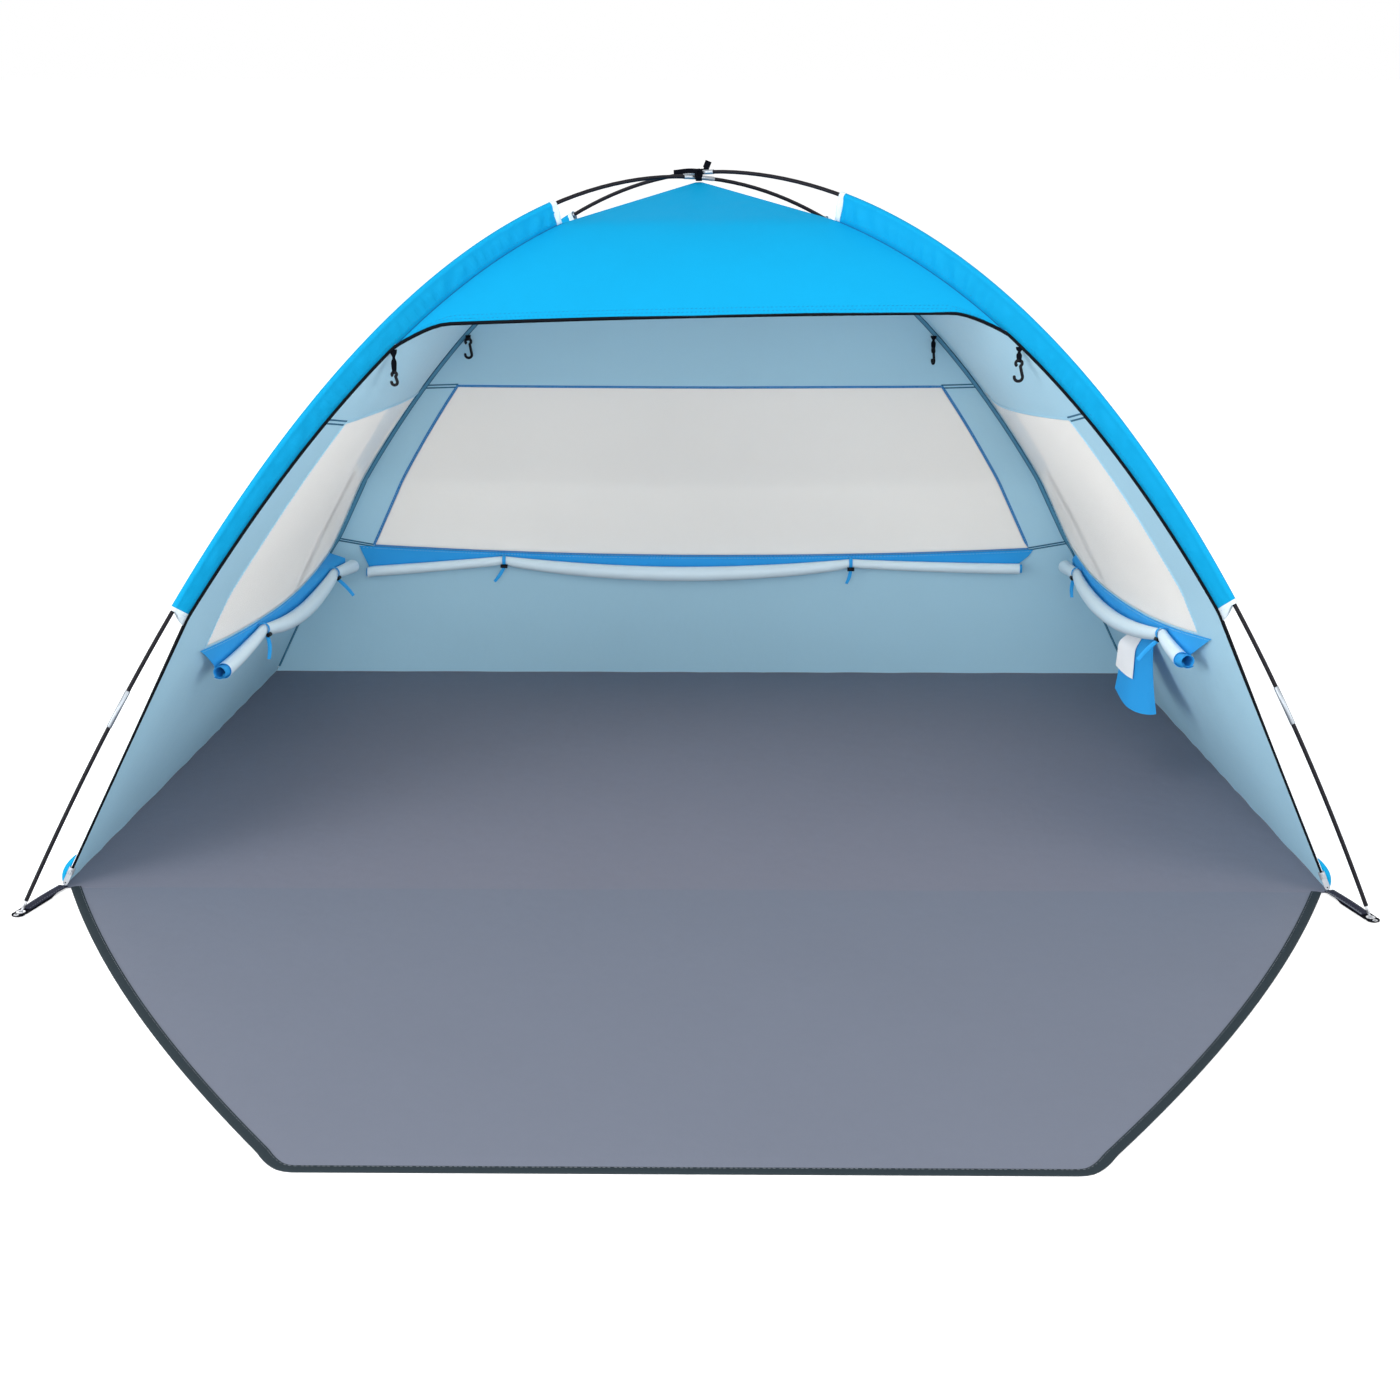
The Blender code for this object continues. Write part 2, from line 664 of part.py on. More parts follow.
def build_sleeve(name, side, front, height, material, collection):
    """Flattened tube from the seam out to the pole, open at both ends."""
    step_angle = 2 * SLEEVE_ARC_HALF_ANGLE / SLEEVE_ARC_STEPS
    bore = FERRULE_RADIUS + SLEEVE_CLEARANCE
    radius = bore / cos(step_angle / 2) + SLEEVE_CLOTH / 2
    seam_clear = BEAD_RADIUS + BEAD_GAP if front else SEAM_INSET
    along = feet_line(side, front)[1]
    sideways = along.cross(UP)
    rows = []
    for step in range(SLEEVE_STATIONS if front else REAR_SLEEVE_STATIONS):
        share = step / (SLEEVE_STATIONS - 1)
        reach = mix(SLEEVE_LOW_REACHES[side, front], SLEEVE_HIGH_REACH, share)
        centre = arch_point(side, front, reach, height)
        seam = seam_point(side, front, mix(SLEEVE_LOW_SHARE, SLEEVE_HIGH_SHARE, share))
        inward = (seam - centre).normalized()
        row = []
        for turn in range(SLEEVE_ARC_STEPS + 1):
            angle = -SLEEVE_ARC_HALF_ANGLE + step_angle * turn
            row.append(centre - inward * radius * cos(angle) + sideways * radius * sin(angle))
        edge = seam - inward * (seam_clear + SLEEVE_CLOTH / 2)
        row.append(edge + sideways * SLEEVE_SEAM_HALF_WIDTH)
        row.append(edge - sideways * SLEEVE_SEAM_HALF_WIDTH)
        rows.append(row)
    sheet(name, rows, SLEEVE_CLOTH, material, collection, wrap=True)


def build_wall(panel, material, collection):
    columns = 2 * EDGE_COLUMNS + WINDOW_COLUMNS + 1
    row_count = FOOT_ROWS + WINDOW_ROWS + HEAD_ROWS + 1
    rows = [[wall_point(panel, column, row) for column in range(columns)] for row in range(row_count)]

    def in_window(row, column):
        beside = EDGE_COLUMNS <= column < EDGE_COLUMNS + WINDOW_COLUMNS
        return beside and FOOT_ROWS <= row < FOOT_ROWS + WINDOW_ROWS

    sheet(panel, rows, CLOTH, material, collection, in_window)


def build_window(name, panel, material, collection):
    """Mesh panel on the wall's own surface, a small gap inside the opening."""
    middle_row = FOOT_ROWS + WINDOW_ROWS // 2
    middle_column = EDGE_COLUMNS + WINDOW_COLUMNS // 2
    past_column = EDGE_COLUMNS + WINDOW_COLUMNS
    past_row = FOOT_ROWS + WINDOW_ROWS
    width = (wall_point(panel, past_column, middle_row) - wall_point(panel, EDGE_COLUMNS, middle_row)).length
    height = (wall_point(panel, middle_column, past_row) - wall_point(panel, middle_column, FOOT_ROWS)).length
    inset_column = WINDOW_COLUMNS * WINDOW_GAP / width
    inset_row = WINDOW_ROWS * WINDOW_GAP / height
    rows = []
    for row in range(FOOT_ROWS, past_row + 1):
        at_row = min(max(row, FOOT_ROWS + inset_row), past_row - inset_row)
        line = []
        for column in range(EDGE_COLUMNS, past_column + 1):
            at_column = min(max(column, EDGE_COLUMNS + inset_column), past_column - inset_column)
            line.append(wall_point(panel, at_column, at_row))
        rows.append(line)
    sheet(name, rows, MESH_CLOTH, material, collection)


def brow_columns():
    return list(BROW_COLUMN_SHARES) + [1 - share for share in BROW_COLUMN_SHARES[-2::-1]]


def build_brow_panel(material, collection):
    foot = brow_edge_share(0) + brow_lift_share(0)
    levels = [foot] + [station_share(station) for station in range(BROW_CORNER_STATION + 1, SLEEVE_STATIONS)]
    rows = []
    for level in levels + [TOP_SHARE]:
        raised = (level - foot) / (TOP_SHARE - foot)
        line = []
        for across in brow_columns():
            low = brow_edge_share(across) + brow_lift_share(across)
            line.append(panel_point("brow_panel", across, mix(low, TOP_SHARE, raised)))
        rows.append(line)
    sheet("brow_panel", rows, CLOTH, material, collection)


def zip_path():
    """Doorway edge: up the left seam, across under the brow and down the right seam."""
    start = start_share() + SLEEVE_LOW_SHARE * BEAD_RADIUS / seam_point(LEFT, True, SLEEVE_LOW_SHARE).z
    ups = [start] + [station_share(station) for station in range(BROW_CORNER_STATION)]
    left = [seam_point(LEFT, True, up) for up in ups]
    right = [seam_point(RIGHT, True, up) for up in reversed(ups)]
    brow = [panel_point("brow_panel", across, brow_edge_share(across), (0, 0)) for across in brow_columns()]
    return left + brow + right


def build_doorway_zip(material, collection):
    points = zip_path()
    tube("doorway_zip", points, [BEAD_RADIUS] * len(points), material, collection)


# Rolled window covers with their ties and toggles

def sill_point(panel, share):
    """Point on the inner face of a wall just below its window, by share along the cover."""
    column = EDGE_COLUMNS + WINDOW_COLUMNS * mix(*COVER_END_SHARES[panel], share)
    wall = on_wall(panel, column, FOOT_ROWS - 1 + COVER_SEAT_ROW_SHARE)
    fall = wall - on_wall(panel, column, FOOT_ROWS - 1)
    outward = PANELS[panel][2]
    lean = hypot(1, fall.dot(outward) / fall.z)
    return wall - outward * (COVER_CLOTH / 2 + (CLOTH / 2 + COVER_SEAT_GAP) * lean)


def cover_length(panel):
    return (sill_point(panel, 1) - sill_point(panel, 0)).length


def tied_half_share(panel):
    return (TIE_HALF_WIDTH + TIE_GAP) / cover_length(panel)


def cover_stations(panel):
    """Shares along a cover with the roll's radius and the valance's drop at each."""
    first, second = TIE_SHARES[panel]
    grip = tied_half_share(panel)
    stations = []
    for step in range(COVER_END_STATIONS + 1):
        away = 1 - step / COVER_END_STATIONS
        stations.append(((first - grip) * (1 - away), ROLL_RADIUS_END, VALANCE_END, away))
    for step in range(COVER_MIDDLE_STATIONS + 1):
        along = step / COVER_MIDDLE_STATIONS
        share = mix(first + grip, second - grip, along)
        stations.append((share, ROLL_RADIUS_MIDDLE, VALANCE_MIDDLE, sin(pi * along)))
    for step in range(COVER_END_STATIONS + 1):
        away = step / COVER_END_STATIONS
        stations.append((mix(second + grip, 1, away), ROLL_RADIUS_END, VALANCE_END, away))
    return [(share, mix(ROLL_RADIUS_TIED, radius, abs(away) ** 0.5), mix(VALANCE_TIED, drop, away))
            for share, radius, drop, away in stations]


def rear_lean(panel, share):
    """How far inward a roll stands off its wall towards its rear end."""
    return COVER_REAR_LEANS[panel] * max(0, (share - COVER_LEAN_START_SHARE) / (1 - COVER_LEAN_START_SHARE)) ** 2


def roll_share(panel, share):
    """Share along the sill line of the roll that hangs from a share of the valance."""
    first, second = TIE_SHARES[panel]
    grip = tied_half_share(panel)
    start, end = ROLL_END_SHARES[panel]
    before = max(0, 1 - share / (first - grip))
    after = max(0, (share - second - grip) / (1 - second - grip))
    return share + start * before - end * after


def in_section(panel, share, inward, rise, lean_share=1):
    """Point of a cover's cross-section: inward from the valance and up from the sill line."""
    inward += rear_lean(panel, share) * lean_share
    return sill_point(panel, share) - PANELS[panel][2] * inward + UP * rise


def build_cover(name, panel, material, collection):
    rows = []
    for share, radius, drop in cover_stations(panel):
        centre = -drop - radius
        rolled = roll_share(panel, share)
        row = [in_section(panel, share, 0, 0, 0),
               in_section(panel, mix(share, rolled, 0.25), 0, centre / 4)]
        for step in range(COVER_STEPS + 1):
            turned = 2 * pi * COVER_TURNS * step / COVER_STEPS
            reach = radius - COVER_PITCH * turned / (2 * pi)
            inward = radius - reach * cos(turned)
            row.append(in_section(panel, rolled, inward, centre - reach * sin(turned)))
        rows.append(row)
    sheet(name, rows, COVER_CLOTH, material, collection)


def tie_radius():
    return ROLL_RADIUS_TIED + COVER_CLOTH / 2 + TIE_GAP + TIE_CLOTH / 2


def tie_angle(step):
    """Turn of a tie's facet corner round the roll, from behind it to just short of the valance."""
    clear = COVER_CLOTH / 2 + TIE_GAP + TIE_CLOTH / 2
    last = pi - acos((ROLL_RADIUS_TIED - clear) / tie_radius())
    return pi + (pi + last) * step / TIE_STEPS


def build_tie(name, panel, share, material, collection):
    """Ribbon from behind the valance, under the tied roll and back over its front."""
    radius = tie_radius()
    centre = -VALANCE_TIED - ROLL_RADIUS_TIED
    half_share = TIE_HALF_WIDTH / cover_length(panel)
    section = [(ROLL_RADIUS_TIED - radius, -TIE_BACK_DROP)]
    for step in range(TIE_STEPS + 1):
        angle = tie_angle(step)
        section.append((ROLL_RADIUS_TIED + radius * cos(angle), centre + radius * sin(angle)))
    rows = [[in_section(panel, side, inward, rise) for inward, rise in section]
            for side in (share - half_share, share + half_share)]
    sheet(name, rows, TIE_CLOTH, material, collection)


def build_toggle(name, panel, share, material, collection):
    """Barrel lying against the lower front of its tie."""
    angle = tie_angle(TOGGLE_TIE_STEP)
    away = tie_radius() + TIE_CLOTH / 2 + GAP + TOGGLE_RADIUS
    inward = ROLL_RADIUS_TIED + away * cos(angle)
    rise = -VALANCE_TIED - ROLL_RADIUS_TIED + away * sin(angle)
    grip = tied_half_share(panel)
    along = (in_section(panel, share + grip, 0, 0) - in_section(panel, share - grip, 0, 0)).normalized()
    radial = -PANELS[panel][2] * cos(angle) + UP * sin(angle)
    radial = (radial - along * radial.dot(along)).normalized()
    bpy.ops.mesh.primitive_cylinder_add(vertices=TOGGLE_SIDES, radius=TOGGLE_RADIUS, depth=TOGGLE_LENGTH)
    thing = bpy.context.object
    thing.name = name
    thing.data.materials.append(material)
    thing.matrix_world = frame_at(in_section(panel, share, inward, rise), radial.cross(along), -radial, along)
    for owner in thing.users_collection:
        owner.objects.unlink(thing)
    collection.objects.link(thing)


# Floor, porch, corner straps and eyelets

def build_floor(material, collection):
    front = FLOOR_FRONT_HALF_WIDTH + FLOOR_HEM
    rear = FLOOR_REAR_HALF_WIDTH + FLOOR_HEM
    front_y = -FLOOR_FRONT_REACH - FLOOR_HEM
    rear_y = FLOOR_REAR_REACH + FLOOR_HEM
    outline = [(-front, front_y), (front, front_y), (rear, rear_y), (-rear, rear_y)]
    floor = plate("floor_sheet", [outline], FLOOR_CLOTH, material, collection)
    floor.location = (0, 0, FLOOR_CLOTH / 2)


def porch_half_outline():
    """Right half of the flap from its back corner to the middle of its front edge."""
    back = FLOOR_FRONT_HALF_WIDTH - PORCH_BACK_INSET
    widths = (back, PORCH_MIDDLE_HALF_WIDTH, PORCH_CORNER_HALF_WIDTH)
    shares = [step / PORCH_SIDE_STEPS for step in range(PORCH_SIDE_STEPS)]
    half = [(bend(widths, share), -PORCH_CORNER_REACH * share) for share in shares]
    start = Vector((PORCH_CORNER_HALF_WIDTH, -PORCH_CORNER_REACH))
    knee = Vector((mix(PORCH_FRONT_HALF_WIDTH, PORCH_CORNER_HALF_WIDTH, 0.5), -PORCH_LENGTH))
    end = Vector((PORCH_FRONT_HALF_WIDTH, -PORCH_LENGTH))
    for step in range(PORCH_CORNER_POINTS):
        share = step / (PORCH_CORNER_POINTS - 1)
        point = start.lerp(knee, share).lerp(knee.lerp(end, share), share)
        half.append((point.x, point.y))
    return half


def build_porch(material, collection):
    half = porch_half_outline()
    outline = half + [(-x, y) for x, y in reversed(half)]
    porch = to_mesh(plate("porch_flap", [outline], FLOOR_CLOTH, material, collection), collection)
    porch.data.transform(Matrix.Translation((0, 0, -FLOOR_CLOTH / 2)))
    porch.location = (0, -FLOOR_FRONT_REACH - FLOOR_HEM - FOLD_GAP, FLOOR_CLOTH)


def eyelet_height():
    return 2 * EYELET_FLANGE + 2 * GAP + STRAP_THICKNESS


def eyelet_centre(side, front):
    """Middle of an eyelet on the ground, so that the leaning pin passes its bore."""
    foot, along, chord = feet_line(side, front)
    return foot + along * eyelet_height() / 2 / arch_slope(side, front, 0)


def build_corner_strap(name, side, front, material, collection):
    """Webbing from a floor corner past the pole foot, with a hole for the eyelet."""
    foot = eyelet_centre(side, front)
    half_width = FLOOR_FRONT_HALF_WIDTH if front else FLOOR_REAR_HALF_WIDTH
    reach = FLOOR_FRONT_REACH if front else FLOOR_REAR_REACH
    to_front = -1 if front else 1
    corner = Vector((side * half_width, to_front * reach, 0))
    along = (foot - corner).normalized()
    across = along.cross(UP)
    start_y = to_front * (reach + FLOOR_HEM + GAP)
    edges = []
    for hand in (-1, 1):
        edge = foot + across * hand * STRAP_WIDTH / 2
        edges.append(edge + along * (start_y - edge.y) / along.y)
    turn = along.to_2d().angle_signed(Vector((1, 0)))
    end = foot + along * (STRAP_BEYOND_FOOT - STRAP_WIDTH / 2)
    round_end = arc(STRAP_WIDTH / 2, turn - pi / 2, turn + pi / 2, STRAP_END_POINTS, (end.x, end.y))
    outline = [(edges[1].x, edges[1].y)] + round_end + [(edges[0].x, edges[0].y)]
    hole = circle(EYELET_BORE_RADIUS + EYELET_WALL + GAP, EYELET_STEPS, (foot.x, foot.y))
    strap = plate(name, [outline, hole], STRAP_THICKNESS, material, collection)
    strap.location = (0, 0, EYELET_FLANGE + GAP + STRAP_THICKNESS / 2)


def build_eyelet(name, side, front, material, collection):
    """Turned eyelet whose flanges hold the strap between them."""
    foot = eyelet_centre(side, front)
    bore = EYELET_BORE_RADIUS
    barrel = bore + EYELET_WALL
    top = eyelet_height()
    profile = [(bore, top), (EYELET_FLANGE_RADIUS, top), (EYELET_FLANGE_RADIUS, top - EYELET_FLANGE),
               (barrel, top - EYELET_FLANGE), (barrel, EYELET_FLANGE), (EYELET_FLANGE_RADIUS, EYELET_FLANGE),
               (EYELET_FLANGE_RADIUS, 0), (bore, 0)]
    rows = []
    for step in range(EYELET_STEPS):
        angle = 2 * pi * step / EYELET_STEPS
        rows.append([foot + Vector((radius * cos(angle), radius * sin(angle), height))
                     for radius, height in profile])
    count = len(profile)
    points = [point for row in rows for point in row]
    faces = []
    for step in range(EYELET_STEPS):
        here = step * count
        there = (step + 1) % EYELET_STEPS * count
        for place in range(count):
            after = (place + 1) % count
            faces.append((here + place, here + after, there + after, there + place))
    mesh_object(name, points, faces, material, collection)


# Zip sliders and pulls

def zip_line(side):
    """Start and direction of the straight lower stretch of the doorway zip."""
    start = seam_point(side, True, 0)
    along = (seam_point(side, True, SLEEVE_LOW_SHARE) - start).normalized()
    return start, along


def slider_frame(side):
    """Origin at the slider's middle, X across the zip, Y out to the front and Z up the zip."""
    start, along = zip_line(side)
    forward = Vector((0, -1, 0))
    outward = (forward - along * forward.dot(along)).normalized()
    across = outward.cross(along)
    return frame_at(start + along * SLIDER_START, across, outward, along)


def slider_radii():
    inner = BEAD_RADIUS / cos(pi / (2 * SLIDER_ARC_STEPS)) + SLIDER_CLEARANCE
    return inner, inner + SLIDER_WALL


def build_slider(name, side, material, collection):
    """Open ring round the zip, its mouth towards the wall, with a bridge for the pull."""
    inner, outer = slider_radii()
    mouth = radians(-90)
    start = mouth + SLIDER_MOUTH_HALF_ANGLE
    end = mouth + 2 * pi - SLIDER_MOUTH_HALF_ANGLE
    outline = arc(outer, start, end, SLIDER_ARC_STEPS) + arc(inner, end, start, SLIDER_ARC_STEPS)
    body = plate(name, [outline], SLIDER_LENGTH, material, collection)
    body.matrix_world = slider_frame(side)
    body = to_mesh(body, collection)
    foot = outer - SLIDER_WALL / 2
    top = outer + BRIDGE_CLEAR + BRIDGE_THICKNESS
    half = BRIDGE_LENGTH / 2
    inside = half - BRIDGE_THICKNESS
    under = top - BRIDGE_THICKNESS
    bridge_outline = [(-half, foot), (-inside, foot), (-inside, under), (inside, under), (inside, foot),
                      (half, foot), (half, top), (-half, top)]
    bridge = plate(name + "_bridge", [bridge_outline], BRIDGE_WIDTH, material, collection)
    stand = Matrix(((0, 0, 1, 0), (0, 1, 0, 0), (-1, 0, 0, 0), (0, 0, 0, 1)))
    bridge.matrix_world = slider_frame(side) @ stand
    bridge = to_mesh(bridge, collection)
    join_solids(name, body, bridge, collection)


def pull_axis_height():
    """How far in front of the zip's middle the pull's bar turns."""
    return slider_radii()[1] + BRIDGE_CLEAR / 2


def build_pull(name, side, material, collection):
    """Tab hanging down the zip from its bar, which passes under the bridge."""
    eye_half = PULL_EYE_WIDTH / 2
    half = PULL_WIDTH / 2
    narrow = eye_half + PULL_BAR
    bar = PULL_BAR / 2
    eye_low = -bar - PULL_EYE_LENGTH
    foot = -PULL_LENGTH
    outline = [(-narrow, bar), (-narrow, eye_low), (-half, eye_low - PULL_BAR)]
    outline += arc(half, pi, 2 * pi, SLIDER_ARC_STEPS, (0, foot + half))
    outline += [(half, eye_low - PULL_BAR), (narrow, eye_low), (narrow, bar)]
    eye = [(-eye_half, -bar), (eye_half, -bar), (eye_half, eye_low), (-eye_half, eye_low)]
    hole = circle(PULL_HOLE_RADIUS, SLIDER_ARC_STEPS, (0, foot + half))
    pull = plate(name, [outline, eye, hole], PULL_THICKNESS, material, collection)
    turned = Matrix(((1, 0, 0, 0), (0, 0, -1, pull_axis_height()), (0, 1, 0, 0), (0, 0, 0, 1)))
    pull.matrix_world = slider_frame(side) @ turned


# Lantern hooks

def hook_anchor(side, front):
    """Top of a hook's webbing, just inside its seam."""
    share = FRONT_HOOK_SHARES[side] if front else REAR_HOOK_SHARE
    low = seam_point(side, front, share)
    reach_share = (share - SLEEVE_LOW_SHARE) / (SLEEVE_HIGH_SHARE - SLEEVE_LOW_SHARE)
    reach = mix(SLEEVE_LOW_REACHES[side, front], SLEEVE_HIGH_REACH, reach_share)
    depth = HOOK_STRIP_WIDTH * (FRONT_HOOK_DEPTH_SHARE if front else REAR_HOOK_DEPTH_SHARE)
    if front:
        depth += BEAD_RADIUS
    return low + inward_normal(side, front, reach) * depth


def build_hook(name, side, front, material, collection):
    """Webbing strip with a moulded S hook, swinging about its top edge."""
    anchor = hook_anchor(side, front)
    eye_drop = HOOK_STRIP_LENGTH + HOOK_EYE_RADIUS - HOOK_EYE_LAP
    outer = HOOK_BEND_RADIUS + HOOK_WIRE_HALF_WIDTH
    inner = HOOK_BEND_RADIUS - HOOK_WIRE_HALF_WIDTH
    eye_centre = (0, -eye_drop)
    bend_centre = (0, -eye_drop - HOOK_BEND_DROP)
    outline = arc(HOOK_EYE_RADIUS, radians(240), radians(-60), 9, eye_centre)
    outline += arc(outer, radians(10), radians(-195), 8, bend_centre)
    outline += arc(inner, radians(-195), radians(10), 8, bend_centre)
    hole = circle(HOOK_EYE_HOLE_RADIUS, 8, eye_centre)
    hook = plate(name, [outline, hole], HOOK_THICKNESS, material, collection)
    facing = Vector((side, 0, 0))
    hook.matrix_world = frame_at(anchor, facing, UP, facing.cross(UP))
    hook = to_mesh(hook, collection)
    half = HOOK_STRIP_WIDTH / 2
    foot = -HOOK_STRIP_LENGTH
    strip_outline = [(-half, foot), (half, foot), (half, 0), (-half, 0)]
    strip = plate(name + "_strip", [strip_outline], HOOK_STRIP_THICKNESS, material, collection)
    across = Vector((0, 1, 0))
    strip.matrix_world = frame_at(anchor, across, UP, across.cross(UP))
    strip = to_mesh(strip, collection)
    join_solids(name, hook, strip, collection)


# Crown tie, hanging tab and label

def build_crown_tie(material, collection):
    """Band round both poles where they cross, with its free end standing up."""
    along = feet_line(LEFT, True)[1]
    spread = CROWN_TIE_WIDTH / 2 * along.y / along.x + FERRULE_RADIUS / along.x
    shift = abs(CROSSING_RISE * sin(CROSSING_LEAN))
    half_width = spread / cos(CROSSING_LEAN) + shift + GAP + CROWN_TIE_CLOTH / 2
    half_height = CROWN_TIE_HALF_HEIGHT
    lie = Matrix.Translation(CROSSING) @ Matrix.Rotation(CROSSING_LEAN, 4, "X")
    corner = FERRULE_RADIUS / 2
    section = []
    for quarter, (y, z) in enumerate(((1, 1), (-1, 1), (-1, -1), (1, -1))):
        centre = (y * (half_width - corner), z * (half_height - corner))
        section += arc(corner, quarter * pi / 2, (quarter + 1) * pi / 2, CROWN_TIE_CORNER_STEPS, centre)
    rows = [[lie @ Vector((side * CROWN_TIE_WIDTH / 2, y, z)) for y, z in section] for side in (-1, 1)]
    band = sheet("crown_tie", rows, CROWN_TIE_CLOTH, material, collection, wrap=True)
    band = to_mesh(band, collection)
    half = CROWN_TAB_WIDTH / 2
    lean = CROWN_TAB_HEIGHT * CROWN_TAB_LEAN_SHARE
    outline = [(-half, 0), (half, 0), (half + lean, CROWN_TAB_HEIGHT), (lean - half, CROWN_TAB_HEIGHT)]
    tab = plate("crown_tab", [outline], CROWN_TIE_CLOTH, material, collection)
    tab.matrix_world = lie @ Matrix.Translation(UP * half_height) @ Matrix.Rotation(pi / 2, 4, "X")
    tab = to_mesh(tab, collection)
    join_solids("crown_tie", band, tab, collection)


def tab_frame():
    """Top middle of the hanging tab, its level direction to the rear and its inward normal."""
    row = FOOT_ROWS - 1 + TAB_ROW_SHARE
    middle = on_wall("right_wall", TAB_COLUMN, row)
    up_wall = on_wall("right_wall", TAB_COLUMN, FOOT_ROWS - 1) - middle
    along_wall = on_wall("right_wall", TAB_COLUMN + 1 / TAB_COLUMNS, row) - middle
    normal = up_wall.cross(along_wall).normalized()
    if normal.dot(PANELS["right_wall"][2]) > 0:
        normal = -normal
    rearward = UP.cross(normal).normalized()
    if rearward.y < 0:
        rearward = -rearward
    inward = Vector((normal.x, normal.y, 0)).normalized()
    stand_off = (CLOTH + TAB_CLEARANCE) / normal.dot(inward)
    return middle + inward * stand_off, rearward, inward


def build_hanging_tab(material, collection):
    top, rearward, inward = tab_frame()
    rows = []
    for row in range(TAB_ROWS + 1):
        down = row / TAB_ROWS
        half = mix(TAB_TOP_HALF_WIDTH, TAB_FOOT_HALF_WIDTH, down ** 2)
        line = []
        for column in range(TAB_COLUMNS + 1):
            across = 2 * column / TAB_COLUMNS - 1
            drop = TAB_LENGTH * down + TAB_FOOT_BOW * down * (1 - across ** 2)
            line.append(top + rearward * half * across - UP * drop)
        rows.append(line)
    sheet("hanging_tab", rows, CLOTH, material, collection)


def build_label(material, collection):
    top, rearward, inward = tab_frame()
    half = LABEL_WIDTH / 2
    outline = [(-half, -LABEL_LENGTH), (half, -LABEL_LENGTH), (half, 0), (-half, 0)]
    label = plate("blank_label", [outline], LABEL_THICKNESS, material, collection)
    seat = top - UP * LABEL_DROP + inward * (CLOTH / 2 + GAP + LABEL_THICKNESS / 2)
    label.matrix_world = frame_at(seat, UP.cross(inward), UP, inward)


def build():
    clear_scene()
    parts = new_collection("beach_tent")
    blue = make_material("blue_cloth", (0.01, 0.45, 0.90), 0.55)
    silver = make_material("silver_coated_cloth", (0.42, 0.55, 0.62), 0.50)
    net = make_material("window_net", (0.70, 0.70, 0.70), 0.80)
    grey = make_material("floor_cloth", (0.19, 0.20, 0.24), 0.65)
    webbing = make_material("black_webbing", (0.02, 0.02, 0.025), 0.80)
    plastic = make_material("black_plastic", (0.015, 0.015, 0.02), 0.35)
    rod = make_material("glass_fibre_rod", (0.03, 0.03, 0.035), 0.40)
    metal = make_material("nickel_plate", (0.80, 0.80, 0.80), 0.25, 1.0)
    white = make_material("label_cloth", (0.90, 0.90, 0.90), 0.70)

    build_floor(grey, parts)
    build_porch(grey, parts)
    for panel in ("left_wall", "right_wall", "rear_wall"):
        build_wall(panel, blue, parts)
        window = panel.replace("wall", "window")
        build_window(window, panel, net, parts)
        build_cover(panel.replace("wall", "cover"), panel, silver, parts)
        for place, share in zip(("first", "second"), TIE_SHARES[panel]):
            build_tie(f"{panel.replace('wall', place)}_tie", panel, share, blue, parts)
            build_toggle(f"{panel.replace('wall', place)}_toggle", panel, share, plastic, parts)
    build_brow_panel(blue, parts)
    build_doorway_zip(webbing, parts)

    heights = {LEFT: ARCH_HEIGHT - CROSSING_RISE, RIGHT: ARCH_HEIGHT + CROSSING_RISE}
    for side, word in ((LEFT, "left"), (RIGHT, "right")):
        build_pole(f"{word}_pole", side, heights[side], rod, parts)
        build_slider(f"{word}_zip_slider", side, metal, parts)
        build_pull(f"{word}_zip_pull", side, metal, parts)
        for front, end in ((True, "front"), (False, "rear")):
            height = heights[side] if front else heights[-side]
            build_sleeve(f"{end}_{word}_sleeve", side, front, height, blue, parts)
            build_corner_strap(f"{end}_{word}_strap", side, front, webbing, parts)
            build_eyelet(f"{end}_{word}_eyelet", side, front, metal, parts)
            build_hook(f"{end}_{word}_hook", side, front, plastic, parts)
    build_crown_tie(webbing, parts)
    build_hanging_tab(blue, parts)
    build_label(white, parts)


build()
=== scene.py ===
from math import acos, atan2, cos, exp, hypot, pi, radians, sin, sqrt

import bpy
from mathutils import Matrix, Vector


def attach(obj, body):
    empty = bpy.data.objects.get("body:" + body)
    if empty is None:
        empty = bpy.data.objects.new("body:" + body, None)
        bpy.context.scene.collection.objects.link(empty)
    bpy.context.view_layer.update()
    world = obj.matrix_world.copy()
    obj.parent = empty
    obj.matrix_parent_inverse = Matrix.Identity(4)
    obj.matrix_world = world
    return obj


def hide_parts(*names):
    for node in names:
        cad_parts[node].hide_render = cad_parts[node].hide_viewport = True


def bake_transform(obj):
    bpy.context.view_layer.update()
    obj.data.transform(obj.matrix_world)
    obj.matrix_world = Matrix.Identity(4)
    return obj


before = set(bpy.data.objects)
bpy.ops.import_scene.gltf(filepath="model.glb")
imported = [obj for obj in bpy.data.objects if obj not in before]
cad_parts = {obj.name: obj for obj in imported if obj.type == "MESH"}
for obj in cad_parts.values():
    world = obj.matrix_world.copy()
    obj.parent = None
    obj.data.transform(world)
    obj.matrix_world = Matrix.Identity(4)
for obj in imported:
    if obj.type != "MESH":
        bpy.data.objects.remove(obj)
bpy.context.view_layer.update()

UP = Vector((0, 0, 1))
ROOT = "tent"
LEFT = -1
RIGHT = 1
FRONT = True
REAR = False
WORDS = {LEFT: "left", RIGHT: "right"}

